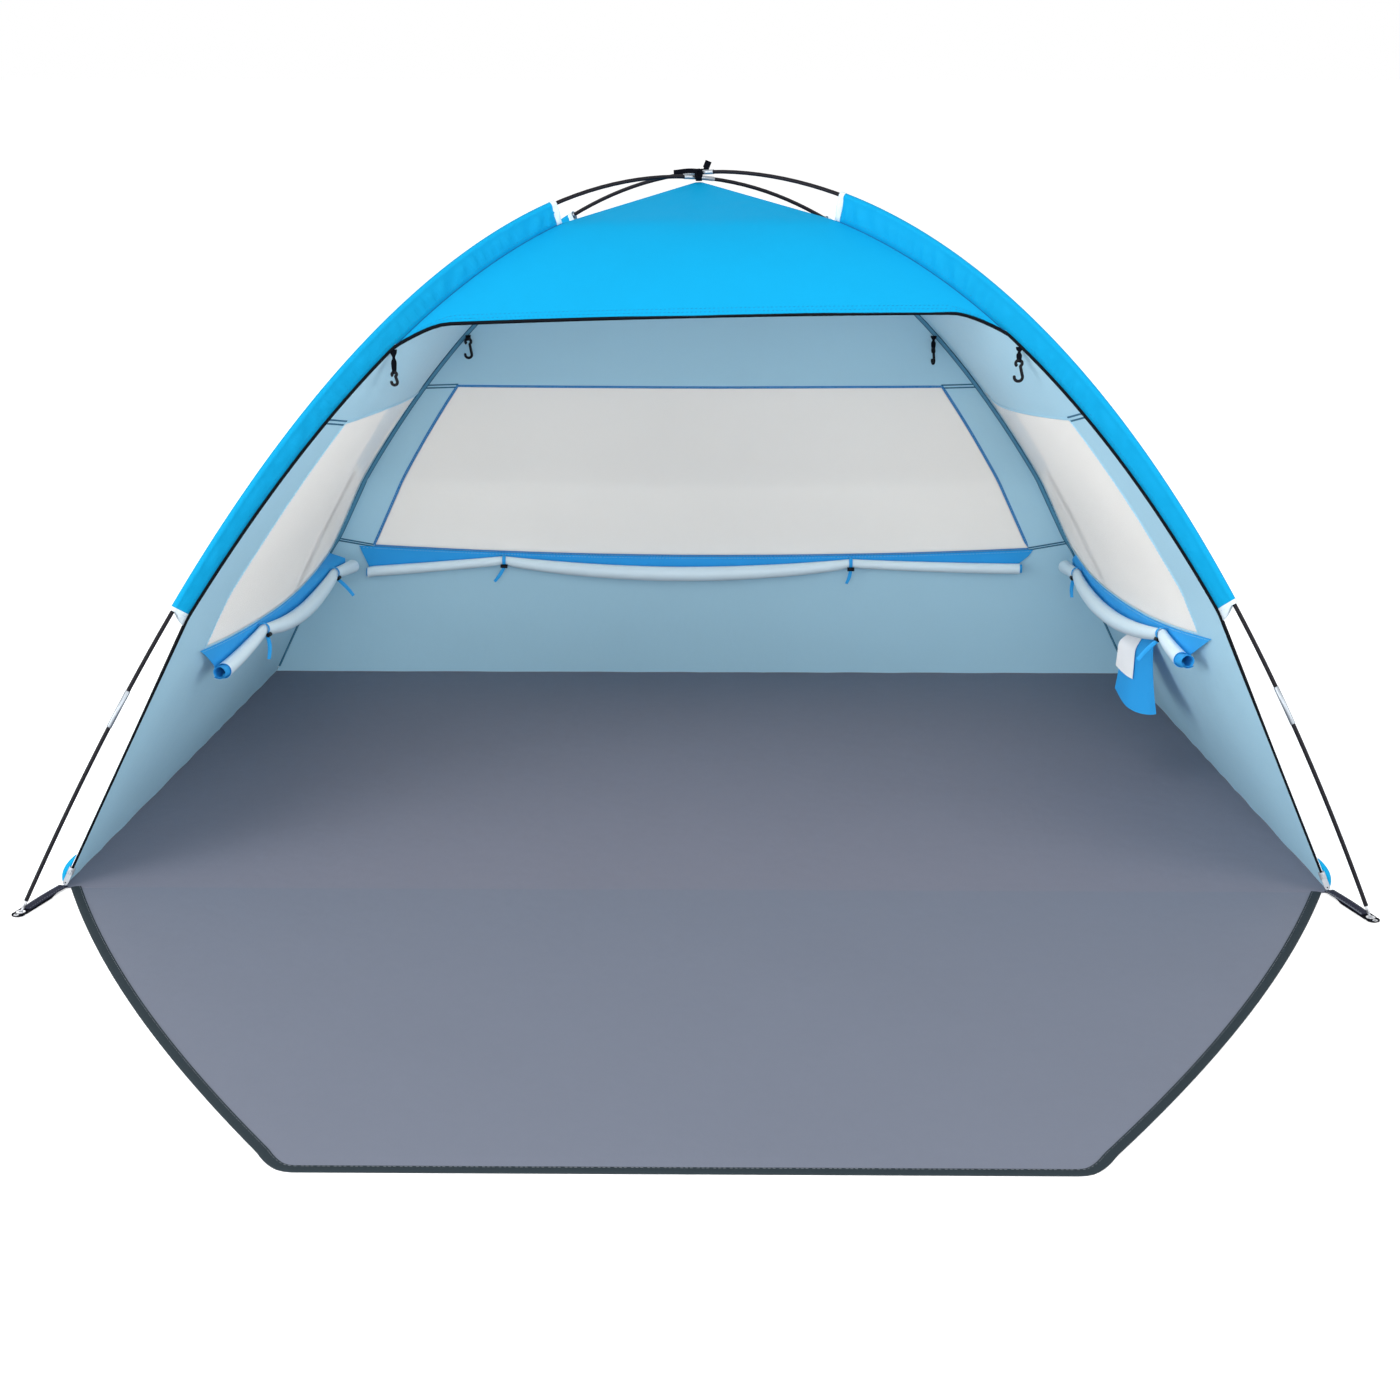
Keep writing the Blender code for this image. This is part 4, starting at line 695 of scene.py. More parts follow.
def build_wall_seams(panel):
    """Double felled seams from the window's corners out to the wall's edges, inside and outside."""
    made = []
    for level, hand, share in WALL_SEAMS[panel]:
        row = HEAD_ROW if level == "head" else SILL_ROW
        corner = window_shares(panel, FAR_COLUMN if hand else NEAR_COLUMN, row)
        run = list(zip(spread(20, corner[0], hand), spread(20, corner[1], share)))
        for face, way in FACES:
            colour = seam_line if face == "inside" else piping_blue
            for line, rise in (("upper", 0.0020), ("lower", -0.0020)):
                places = [(across, up + rise) for across, up in run]
                points, normals = on_wall(panel, places, WALL_SEAM_LIFT, way)
                made.append(tape(f"{panel}_{level}_seam_{hand + 1}_{line}_{face}", points, normals,
                                 WALL_SEAM_WIDTH, TRIM_THICKNESS, colour, 0.0004))
    return made


def build_brow():
    """Panel over the doorway, with two rows of stitches along its hem."""
    near = spread(8, 0, BROW_CORNER_SHARE)[:-1]
    middle = spread(24, BROW_CORNER_SHARE, 1 - BROW_CORNER_SHARE)
    columns = near + middle + [1 - share for share in reversed(near)]
    rows = [[panel_point("brow", across, mix(brow_edge_share(across) + 0.0012, TOP_SHARE, up))
             for across in columns] for up in spread(BROW_ROWS)]
    piece = shell("brow_canopy", rows, CLOTH, (outer_end, inner_end), "blue_cloth", "brow_panel")
    for line, rise in (("low", 0.0070), ("high", 0.0125)):
        places = [(across, brow_edge_share(across) + rise) for across in spread(120, 0.01, 0.99)]
        sew(f"brow_stitches_{line}", [on_wall("brow", places, 0.0007)], thread_dark, HEM_STITCH)
    declare_cloth(rows)


# Sleeves and seams

SLEEVE_STATIONS = 150
SLEEVE_ARC_STEPS = 14
SLEEVE_WEB_STEPS = 5
SLEEVE_HALF_TURN = radians(115)
SLEEVE_EDGE_INSETS = (0.0010, 0.0036)
SLEEVE_ENDS = {FRONT: 1.0, REAR: 0.8}
SEAM_BEAD_RADIUS = 0.0015
CUFF_LENGTH = 0.014
HANGING_CUFF_LENGTH = 0.006
CUFF_GROWTH = 0.0009
CUFF_THICKNESS = 0.0007
LINING_REACH = 0.024


def sleeve_line(side, front, share):
    """Pole centre, seam share, seam point and the way from the pole to the seam along a sleeve."""
    centre = arch_point(side, front, sleeve_reach(side, front, share), pole_height(side, front))
    level = mix(SLEEVE_LOW_SHARE, SLEEVE_HIGH_SHARE, share)
    seam = seam_point(side, front, level)
    return centre, level, seam, (seam - centre).normalized()


def sleeve_section(side, front, share, grow=0.0):
    """Closed section of a sleeve: round the pole, then narrowing to the seam."""
    centre, level, seam, inward = sleeve_line(side, front, share)
    sideways = feet_line(side, front)[1].cross(UP)
    over_zip = 1 - smooth((level - BROW_SHARE + 0.035) / 0.02) if front else 0
    edge = seam - inward * mix(*SLEEVE_EDGE_INSETS, over_zip)
    radius = SLEEVE_RADIUS + grow
    row = [centre - inward * radius * cos(angle) + sideways * radius * sin(angle)
           for angle in spread(SLEEVE_ARC_STEPS, -SLEEVE_HALF_TURN, SLEEVE_HALF_TURN)]
    uneven = 0.7 + 0.3 * sin(19 * share + 1)
    for hand, shoulder in ((1, row[-1]), (-1, row[0])):
        foot = edge + sideways * (0.0012 + grow) * hand
        for step in range(1, SLEEVE_WEB_STEPS + 1)[::hand]:
            along = step / SLEEVE_WEB_STEPS
            wave = 210 * share + 3 * sin(31 * share) + 2.2 * along
            pucker = (0.0014 + 0.0030 * share) * uneven * sin(wave) + 0.0008 * sin(67 * share + 1.3)
            loose = sin(pi * along) * (pucker + 0.0016) * hand
            row.append(shoulder.lerp(foot, along) + sideways * loose)
    return row


def cuff_bands(side, front, start, way, scale):
    """Rings of a sleeve's hem; at the front's low end the lining hangs out towards the seam."""
    hanging = front and way > 0
    step = (HANGING_CUFF_LENGTH if hanging else CUFF_LENGTH) * scale / 3
    bands = [sleeve_section(side, front, start + way * (step * row - step / 3), CUFF_GROWTH)
             for row in range(4)]
    if hanging:
        for row, part in ((0, 1.0), (1, 0.5)):
            for web in range(1, SLEEVE_WEB_STEPS + 1):
                reach = LINING_REACH * scale * part * (web / SLEEVE_WEB_STEPS) ** 1.3
                lower = sleeve_section(side, front, start - reach, CUFF_GROWTH)
                for place in (SLEEVE_ARC_STEPS + web, -web):
                    bands[row][place] = lower[place]
    return bands[::way]


def build_sleeve(side, front):
    """Sleeve with hemmed ends, the bead of its seam and the stitches beside it."""
    word = corner_word(side, front)
    end = SLEEVE_ENDS[front]
    rows = [sleeve_section(side, front, share) for share in spread(SLEEVE_STATIONS, 0, end)]
    piece = shell(word + "_pole_sleeve", rows, CLOTH, (sleeve_blue if front else outer_side, lining_white),
                  "blue_cloth", word + "_sleeve", wrap=True)
    scale = end / path_length([row[0] for row in rows])
    for place, start, way in (("low", 0.0, 1), ("high", end, -1)):
        shell(f"{word}_sleeve_cuff_{place}", cuff_bands(side, front, start, way, scale),
                           CUFF_THICKNESS, lining_white, "silver_coated_cloth", wrap=True)
    out = PANELS["brow" if front else "rear"][2]
    bead = []
    for share in spread(60, 0.54 if front else 0.0, end):
        seam, inward = sleeve_line(side, front, share)[2:]
        bead.append(seam - inward * 0.0004 + out * 0.0006)
    rod(word + "_seam_bead", bead, SEAM_BEAD_RADIUS, edge_blue, 8, "blue_cloth")
    sideways = feet_line(side, front)[1].cross(UP)
    sections = [sleeve_section(side, front, share) for share in spread(120, 0, end)]
    for face, hand, corner in (("one", 1, SLEEVE_ARC_STEPS + SLEEVE_WEB_STEPS - 1),
                               ("other", -1, 1 - SLEEVE_WEB_STEPS)):
        path = [row[corner] + sideways * hand * 0.0007 for row in sections]
        run = (path, [sideways * hand] * len(path))
        sew(f"{word}_sleeve_stitches_{face}", [run], thread_dark, SLEEVE_STITCH)
    declare_cloth(rows)


REAR_BINDING_WIDTHS = (0.0055, 0.0135)
REAR_BINDING_LIFTS = (0.0035, 0.0078)
REAR_BINDING_THICKNESS = 0.0008
CORD_RADIUS = 0.0011
WELT_RADIUS = 0.0014
WELT_HEIGHT = 0.0016


def build_rear_seam(side):
    """Teal tape that binds the rear seam inside, from the floor corner to the crown."""
    points = []
    normals = []
    widths = []
    for share in spread(110, 0.012, 0.950):
        seam = seam_point(side, REAR, share)
        inward = Vector((-seam.x, -seam.y - 0.2, max(0, 0.4 - seam.z))).normalized()
        wide = smooth((share - 0.25) / 0.04)
        points.append(seam + inward * mix(*REAR_BINDING_LIFTS, wide))
        normals.append(inward)
        widths.append(mix(*REAR_BINDING_WIDTHS, wide))
    tape(f"rear_{WORDS[side]}_seam_binding", points, normals, widths, REAR_BINDING_THICKNESS, teal_cloth,
         0.0012)
    for edge, hand in (("front", -1), ("back", 1)):
        line = [point + way.cross(normal).normalized() * hand * (width / 2 - 0.0008) + normal * 0.0004
                for point, normal, way, width in zip(points, normals, directions(points), widths)]
        rod(f"rear_{WORDS[side]}_seam_cord_{edge}", line, CORD_RADIUS, teal_dark, 8, "blue_cloth")


def build_floor_welt():
    """Rolled edge where the walls are sewn to the floor."""
    marks = [ground_point(LEFT, FRONT, 0, -0.006), ground_point(LEFT, REAR), ground_point(RIGHT, REAR),
             ground_point(RIGHT, FRONT, 0, -0.006)]
    for number, (start, end) in enumerate(zip(marks, marks[1:])):
        shift = ((start + end) * -0.5).normalized() * 0.0010 + UP * WELT_HEIGHT
        points = [start.lerp(end, step / 40) + shift + UP * 0.0003 * sin(step * 1.7) for step in range(41)]
        # The welt takes the inside floor's cloth, with its painted warm tint against the walls' blue bounce
        # light.
        rod(f"floor_welt_{number + 1}", points, WELT_RADIUS, inner_floor_cloth, 8, "floor_cloth")


# Poles

ARC_SAMPLES = 400
ROD_END_ROUNDING = 0.0006
POLE_NODES = ("front_leg", "front_run", "front_run", "front_run", "front_crown",
              "rear_crown", "rear_run", "rear_run", "rear_run", "rear_leg")


def look_up(known, wanted, value):
    place = 0
    while place < len(known) - 2 and known[place + 1] < value:
        place += 1
    share = (value - known[place]) / (known[place + 1] - known[place])
    return mix(wanted[place], wanted[place + 1], share)


def build_pole(side):
    """Ten rods with their ferrules and the tips at both ends, all placed by length along the arch."""
    word = WORDS[side]
    height = pole_height(side, FRONT)
    reaches = spread(ARC_SAMPLES, 0, feet_line(side, FRONT)[2])
    points = [arch_point(side, FRONT, reach, height) for reach in reaches]
    lengths = [0.0]
    for before, after in zip(points, points[1:]):
        lengths.append(lengths[-1] + (after - before).length)
    total = lengths[-1]
    middle = look_up(reaches, lengths, CROSSING_REACH)

    def bar(name, marks, material, sides, slot, *nodes):
        points = [arch_point(side, FRONT, look_up(lengths, reaches, length), height)
                  for length, radius in marks]
        rod(name, points, [radius for length, radius in marks], material, sides, slot, *nodes)

    def stretch(start, end, radius):
        count = max(2, round((end - start) / 0.03))
        rounded = radius - ROD_END_ROUNDING
        marks = [(start, rounded), (start + ROD_END_ROUNDING, radius)]
        marks += [(length, radius) for length in spread(count, start, end)[1:-1]]
        return marks + [(end - ROD_END_ROUNDING, radius), (end, rounded)]

    pin_end = PIN_GROUND_CLEARANCE / sin(atan2(arch_slope(side, FRONT, 0), 1))
    rear_pin_end = total - PIN_GROUND_CLEARANCE / sin(atan2(arch_slope(-side, REAR, 0), 1))
    joints = spread(SECTIONS_PER_HALF, 0, middle)[1:] + spread(SECTIONS_PER_HALF, middle, total)[1:-1]
    bounds = [pin_end + TIP_LENGTH] + joints + [rear_pin_end - TIP_LENGTH]
    for number, (start, end, node) in enumerate(zip(bounds, bounds[1:], POLE_NODES)):
        nodes = [f"{word}_pole_{node}"] if POLE_NODES.index(node) == number else []
        bar(f"{word}_rod_{number + 1}", stretch(start, end, ROD_RADIUS), rod_black, 14, "glass_fibre_rod",
            *nodes)
    half = FERRULE_LENGTH / 2
    for number, joint in enumerate(joints):
        bar(f"{word}_ferrule_{number + 1}", stretch(joint - half, joint + half, FERRULE_RADIUS),
            ferrule_metal, 16, "nickel_plate")
    marks = [(0, PIN_RADIUS * 0.6), (0.0008, PIN_RADIUS), (PIN_LENGTH, PIN_RADIUS),
             (PIN_LENGTH + 0.0008, TIP_RADIUS), (TIP_LENGTH + 0.004, TIP_RADIUS),
             (TIP_LENGTH + 0.0045, ROD_RADIUS - 0.0004)]
    for end_word, foot, way in (("front", pin_end, 1), ("rear", rear_pin_end, -1)):
        bar(f"{word}_pole_tip_{end_word}", [(foot + way * length, radius) for length, radius in marks],
            bright_metal, 16, "nickel_plate")


# Doorway zip

def zip_path():
    """The doorway's edge, from the left floor corner over the brow to the right one."""
    shares = spread(40, 0.006, SLEEVE_LOW_SHARE)[:-1] + spread(60, SLEEVE_LOW_SHARE, brow_edge_share(0))[:-1]
    brow = []
    for across in spread(120):
        first = seam_point(LEFT, FRONT, brow_edge_share(across))
        run = seam_point(RIGHT, FRONT, brow_edge_share(across)) - first
        depth = PANEL_SAG * 4 * across * (1 - across) * sin(pi * first.z / ARCH_HEIGHT)
        brow.append(first + run * across + Vector((0, depth, 0)))
    right = [seam_point(RIGHT, FRONT, up) for up in reversed(shares)]
    return [seam_point(LEFT, FRONT, up) for up in shares] + brow + right


ZIP_TOOTH_PITCH = 0.0011
ZIP_TOOTH_DEPTH = 0.0009
ZIP_TAPE_STEP = 0.018
ZIP_TAPE_WIDTHS = (0.0048, 0.0070)


def build_zip():
    """Coil and tape of the zip, narrower near the floor."""
    def grown(low, high, point):
        return mix(low, high, smooth((point.z - 0.25) / 0.25))

    path = resample(zip_path(), ZIP_TOOTH_PITCH)
    radii = [BEAD_RADIUS * grown(0.75, 1, point) - (ZIP_TOOTH_DEPTH if place % 2 else 0)
             for place, point in enumerate(path)]
    rod("zip_coil", path, radii, zip_teeth, 8, "black_webbing", "doorway_zip")
    sparse = resample(zip_path(), ZIP_TAPE_STEP)
    facing = Vector((0, -1, 0.15))
    normals = [(facing - way * facing.dot(way)).normalized() for way in directions(sparse)]
    points = [point - normal * 0.0005 for point, normal in zip(sparse, normals)]
    widths = [grown(*ZIP_TAPE_WIDTHS, point) for point in points]
    tape("zip_tape", points, normals, widths, TRIM_THICKNESS, zip_tape, 0.0, "black_webbing")


# Floor and porch

FLOOR_HEM = 0.004
FLOOR_THICKNESS = 0.0008
PORCH_BACK_INSET = 0.015
PORCH_MIDDLE_HALF_WIDTH = 0.943
PORCH_CORNER_HALF_WIDTH = 0.632
PORCH_CORNER_REACH = 1.035
PORCH_FRONT_HALF_WIDTH = 0.575
PORCH_LENGTH = 1.092
PORCH_BACK = -FLOOR_REACHES[FRONT] - FLOOR_HEM
BINDING_WIDTH = 0.019
BINDING_THICKNESS = 0.0005
BINDING_OVERHANG = 0.0012
BINDING_STEP = 0.012
BINDING_SECTION = ((BINDING_WIDTH, 0.0022), (BINDING_WIDTH * 0.5, 0.0031), (0.0012, 0.0028), (0, 0.0018),
                   (0.0012, 0.0004), (BINDING_WIDTH, 0.0004))
BEND_LENGTH = 0.030


def lying_row(half, y, free, columns, stiffness):
    """Row of points of the lying cloth; its ripples end at the edges."""
    row = []
    for across in spread(columns):
        x = mix(-half, half, across)
        wide = sin(3.1 * x + 2.0 * y) * sin(2.3 * x - 4.1 * y + 0.7)
        ripple = 0.0007 * (1 + wide) + 0.0004 * (1 + sin(17 * x + 5 * y) * sin(6 * x - 13 * y))
        edge = min(1, stiffness * min(free, across, 1 - across))
        row.append(Vector((x, y, 0.0009 + ripple * edge * 0.7)))
    return row


def build_floor():
    rows = []
    for back in spread(48):
        y = mix(PORCH_BACK, FLOOR_REACHES[REAR] + FLOOR_HEM, back)
        half = mix(FLOOR_HALF_WIDTHS[FRONT], FLOOR_HALF_WIDTHS[REAR], back) + FLOOR_HEM
        rows.append(lying_row(half, y, 1 - back, 72, 30))
    piece = shell("floor_cloth", rows, FLOOR_THICKNESS, inner_floor_cloth, "floor_cloth", "floor_sheet")
    declare_cloth(rows)


def porch_half_width(reach):
    """Half of the flap's width at a distance from its back edge."""
    back = FLOOR_HALF_WIDTHS[FRONT] - PORCH_BACK_INSET
    if reach <= PORCH_CORNER_REACH:
        return bend((back, PORCH_MIDDLE_HALF_WIDTH, PORCH_CORNER_HALF_WIDTH), reach / PORCH_CORNER_REACH)
    along = clamp((reach - PORCH_CORNER_REACH) / (PORCH_LENGTH - PORCH_CORNER_REACH))
    knee = (PORCH_FRONT_HALF_WIDTH + PORCH_CORNER_HALF_WIDTH) / 2
    turn = 1 - sqrt(1 - along)
    straight = mix(PORCH_CORNER_HALF_WIDTH, knee, turn)
    return mix(straight, mix(knee, PORCH_FRONT_HALF_WIDTH, turn), turn)


def build_porch():
    """Flap of the floor's own cloth, lying flat from the fold, and a binding runs round its free edge."""
    reaches = spread(8, 0, BEND_LENGTH)[:-1] + spread(44, BEND_LENGTH, PORCH_CORNER_REACH)[:-1]
    reaches += spread(12, PORCH_CORNER_REACH, PORCH_LENGTH - 0.0002)
    rows = [lying_row(porch_half_width(reach) - 0.0015, PORCH_BACK - reach, 1 - reach / PORCH_LENGTH, 64, 24)
            for reach in reaches]
    piece = shell("porch_cloth", rows, FLOOR_THICKNESS, floor_cloth, "floor_cloth",
                  "porch_flap", body=None, flip=True)
    last = rows[-1]
    edge = [row[0] for row in rows]
    edge += [Vector((x, last[0].y, 0)) for x in spread(24, last[0].x, last[-1].x)[1:-1]]
    edge += [row[-1] for row in reversed(rows)]
    path = resample([Vector((point.x, point.y, 0)) for point in edge], BINDING_STEP)
    sections = []
    line = []
    for point, way in zip(path, directions(path)):
        inward = UP.cross(way)
        outer = point - inward * BINDING_OVERHANG
        sections.append([outer + inward * reach + UP * height for reach, height in BINDING_SECTION])
        line.append(outer + inward * (BINDING_WIDTH - 0.003) + UP * 0.0028)
    binding = shell("porch_binding", sections, BINDING_THICKNESS, binding_cloth, "black_webbing", body=None)
    threads = sew("porch_binding_stitches", [(line, [UP] * len(line))], thread_grey, HEM_STITCH,
                  "black_webbing", None)
    declare_cloth(rows)
    for bent in (piece, binding, threads):
        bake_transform(bent)


# Rolled window covers, ties and toggles

COVER_CLOTH = 0.0012
COVER_SEAT_SHARE = 0.9925
COVER_LEAN_START_SHARE = 0.5
SOLID_COLUMNS = 8
COVER_PITCH = 0.0034
COVER_TURNS = 1.4
CORE_TURNS = 1.35
CORE_START_TURN = 0.7
ROLL_MIDDLE = 0.0185
ROLL_TIED = 0.0112
ROLL_ENDS = {"left": 0.0170, "right": 0.0170, "rear": 0.0140}
VALANCE_MIDDLE = 0.018
VALANCE_TIED = 0.004
VALANCE_ENDS = {"left": (0.034, 0.014), "right": (0.034, 0.012), "rear": (0.046, 0.027)}
COVER_END_SHARES = {"left": (-0.018, 0.945), "right": (-0.055, 0.935), "rear": (-0.045, 1.012)}
COVER_REAR_LEANS = {"left": 0.036, "right": 0.006, "rear": 0}
ROLL_END_SHARES = {"left": (0.060, 0), "right": (0.085, 0), "rear": (0.026, 0.026)}
CORE_REACHES = {"left": (0.024, 0.006), "right": (0.034, 0.010), "rear": (0.006, 0.006)}
CORE_RADII = {"left": (0.0135, 0.0125), "right": (0.0140, 0.0125), "rear": (0.0105, 0.0105)}
TIE_SHARES = {"left": (0.32, 0.873), "right": (0.20, 0.880), "rear": (0.235, 0.730)}
TIE_HALF_WIDTH = 0.004
TIE_GAP = 0.0006
TIE_RADIUS = ROLL_TIED + COVER_CLOTH / 2 + TIE_GAP + 0.0005
TIE_CENTRE = -VALANCE_TIED - ROLL_TIED
TAIL_TURN = radians(-60)
TAIL_GAP = 0.0032
TAIL_WIDTH = 0.0085
TAIL_THICKNESS = 0.0007
RIBBON_THICKNESS = 0.0009
TAILS = {
    ("left", "first"): (0.052, 0.10, 0), ("left", "second"): (0.040, 0, 0.85),
    ("right", "first"): (0.040, 0, 0.90), ("right", "second"): (0.044, 0.05, 0),
    ("rear", "first"): (0.036, -0.65, 0), ("rear", "second"): (0.034, -0.30, 0),
}


def sill_point(panel, share):
    """Point just inside a wall a little below its window, by share along the cover."""
    first_edge, second_edge, sill = WINDOWS[panel][:3]
    at = mix(*COVER_END_SHARES[panel], share)
    if at < 0:
        across = first_edge[0] * (1 + SOLID_COLUMNS * at)
    elif at > 1:
        across = mix(second_edge[0], 1, SOLID_COLUMNS * (at - 1))
    else:
        across = mix(first_edge[0], second_edge[0], at)
    up = mix(START_SHARE, bend(sill, across), COVER_SEAT_SHARE)
    high = panel_point(panel, across, up)
    low = panel_point(panel, across, up * 0.9)
    outward = PANELS[panel][2]
    lean = hypot(1, (low - high).dot(outward) / (high.z - low.z))
    return high - outward * (COVER_CLOTH / 2 + 0.0016 * lean)


def cover_length(panel):
    return (sill_point(panel, 1) - sill_point(panel, 0)).length


def grips(panel):
    """Shares where the grips of the two ties start and end."""
    grip = (TIE_HALF_WIDTH + TIE_GAP) / cover_length(panel)
    first, second = TIE_SHARES[panel]
    return first - grip, first + grip, second - grip, second + grip


GRIPS = {panel: grips(panel) for panel in TIE_SHARES}


def cover_shape(panel, share):
    """Radius of the roll, drop of the valance and looseness at a share along the cover."""
    tied, free, held, past = GRIPS[panel]
    if share < tied:
        away, radius, drop = 1 - share / tied, ROLL_ENDS[panel], VALANCE_ENDS[panel][0]
    elif share > past:
        away, radius, drop = (share - past) / (1 - past), ROLL_ENDS[panel], VALANCE_ENDS[panel][1]
    else:
        between = clamp((share - free) / (held - free))
        away, radius, drop = max(0, sin(pi * between)), ROLL_MIDDLE, VALANCE_MIDDLE
    return mix(ROLL_TIED, radius, sqrt(away)), mix(VALANCE_TIED, drop, away), away


def roll_share(panel, share):
    """Share along the sill line of the roll that hangs from a share of the valance."""
    tied, past = GRIPS[panel][0], GRIPS[panel][-1]
    start, end = ROLL_END_SHARES[panel]
    return share + start * max(0, 1 - share / tied) - end * max(0, (share - past) / (1 - past))


def in_section(panel, share, inward, rise, lean_share=1):
    """Point of a cover's cross-section: inward from the valance and up from the sill line."""
    past = max(0, (share - COVER_LEAN_START_SHARE) / (1 - COVER_LEAN_START_SHARE))
    inward += COVER_REAR_LEANS[panel] * past ** 2 * lean_share
    return sill_point(panel, share) - PANELS[panel][2] * inward + UP * rise


def build_cover(panel):
    """Blue flap below the sill that ends in a silver roll, with its core, ties and tails."""
    marks = [0, *GRIPS[panel], 1]
    shares = [share for low, high, count in zip(marks, marks[1:], (24, 2, 44, 2, 16))
              for share in spread(count, low, high)[:-1]] + [1]
    rows = []
    for share in shares:
        radius, drop, away = cover_shape(panel, share)
        centre = -drop - radius
        wave = away * 0.0007
        rolled = roll_share(panel, share)
        row = [in_section(panel, share, 0, 0, 0)]
        for step in range(1, 5):
            billow = wave * sin(38 * share + step) * (1 if step < 3 else 0.4)
            at = mix(share, rolled, step / 4)
            row.append(in_section(panel, at, billow, centre * step / 5, min(1, step / 2)))
        for step in range(37):
            turned = 2 * pi * COVER_TURNS * step / 36
            rub = wave * sin(52 * share + 2.4 * turned) * sin(pi * min(1, step / 8))
            reach = radius - COVER_PITCH * turned / (2 * pi) + rub
            row.append(in_section(panel, rolled, radius - reach * cos(turned), centre - reach * sin(turned)))
        rows.append(row)
    piece = shell(panel + "_rolled_cover", rows, COVER_CLOTH, (cover_blue, cover_silver),
                  "silver_coated_cloth", panel + "_cover", flip=panel == "right")
    trims = build_cores(panel)
    path = [in_section(panel, share, 0.0008, -0.0035, 0) for share in spread(90)]
    normals = [-PANELS[panel][2]] * len(path)
    trims.append(sew(f"{panel}_cover_stitches", [(path, normals)], thread_pale, LONG_STITCH,
                     "silver_coated_cloth"))
    for word, share in zip(("first", "second"), TIE_SHARES[panel]):
        trims += build_tie(panel, word, share)
        dress_node(f"{panel}_{word}_toggle", moulded_black)
    declare_cloth(rows)


def build_cores(panel):
    """Inner turns of the roll, blue side out, that show at its ends."""
    made = []
    for place, end, way in (("first", 0, -1), ("second", 1, 1)):
        core_radius = CORE_RADII[panel][end]
        radius, drop = cover_shape(panel, end)[:2]
        rows = []
        for step, out in enumerate(spread(8, -0.014, CORE_REACHES[panel][end] / cover_length(panel))):
            row = []
            for turned in spread(40, 0, 2 * pi * CORE_TURNS):
                reach = core_radius * (1 - 0.20 * turned / (2 * pi)) + 0.0003 * sin(5 * turned + step)
                turn = turned + CORE_START_TURN
                row.append(in_section(panel, roll_share(panel, end) + way * out, radius - reach * cos(turn),
                                      -drop - radius - reach * sin(turn)))
            rows.append(row)
        made.append(shell(f"{panel}_roll_core_{place}", rows, CLOTH, cover_blue,
                          "silver_coated_cloth", flip=(panel == "right") == (way > 0)))
    return made


def build_tie(panel, word, share):
    """Ribbon round the tied roll and its loose tail, folded over and cut on a slant."""
    last = pi - acos((ROLL_TIED - 0.0017) / TIE_RADIUS)
    half_share = TIE_HALF_WIDTH / cover_length(panel)
    section = [(ROLL_TIED - TIE_RADIUS, -0.009)]
    section += [(ROLL_TIED + TIE_RADIUS * cos(angle), TIE_CENTRE + TIE_RADIUS * sin(angle))
                for angle in spread(24, pi, 2 * pi + last)]
    rows = [[in_section(panel, share + shift, inward, rise) for inward, rise in section]
            for shift in spread(4, -half_share, half_share)]
    ribbon = shell(f"{panel}_{word}_ribbon", rows, RIBBON_THICKNESS, ribbon_blue, "blue_cloth",
                   f"{panel}_{word}_tie", flip=panel == "right")
    outward = PANELS[panel][2]
    side = Vector((abs(outward.y), abs(outward.x), 0))
    length, swing, lean = TAILS[panel, word]
    reach = TIE_RADIUS + TAIL_GAP
    start = in_section(panel, share, ROLL_TIED + reach * cos(TAIL_TURN), TIE_CENTRE + reach * sin(TAIL_TURN))
    points = [start - UP * fall + side * (swing * fall + 0.0020 * sin(90 * fall))
              - outward * (lean * fall + 0.003 * sin(60 * fall)) for fall in spread(12, 0, length)]
    facing = Vector((-0.25 * outward.x, -1, 0))
    normals = [(facing + side * 0.35 * sin(3 + step * 0.4)).normalized() for step in range(13)]
    widths = [TAIL_WIDTH - 0.0025 * abs(down - 0.4) for down in spread(12)]
    tail = tape(f"{panel}_{word}_ribbon_tail", points, normals, widths, TAIL_THICKNESS, ribbon_blue, 0.0006)
    return [ribbon, tail]


# Webbing and hardware on the ground

STRAP_WIDTH = 0.025
STRAP_THICKNESS = 0.0017
STRAP_HEIGHT = 0.0021
STRAP_GAP = 0.0015
STRAP_TOP_INSET = 0.0025
STRAP_TOP_THICKNESS = 0.0011
STRAP_EDGE_INSET = 0.0040
STRAP_EDGE_RADIUS = 0.0007
STRAP_STITCH_INSET = 0.0062
STRAP_BEYOND = 0.020
STRAP_SIDES = 40
EYELET_HEIGHT = 0.0042
EYELET_HOLE_RADIUS = 0.0053
SPARE_EYELET_PLACE = 0.0145
SPARE_EYELET_THICKNESS = 0.0004
SPARE_EYELET = ((0.0026, 0.0033), (0.0031, 0.0039), (0.0040, 0.0039), (0.0046, 0.0032))


def strap_outline(turn, back):
    """Distance from the eyelet to the strap's outline in one direction."""
    half = STRAP_WIDTH / 2
    forward = cos(turn)
    sideways = abs(sin(turn))
    limits = []
    if sideways > 1e-6:
        limits.append(half / sideways)
    if forward < -1e-6:
        limits.append(back / -forward)
    if forward > 1e-6:
        centre = STRAP_BEYOND - half
        base = centre * forward
        limits.append(base + sqrt(max(0, half * half - centre * centre + base * base)))
    return min(limits)


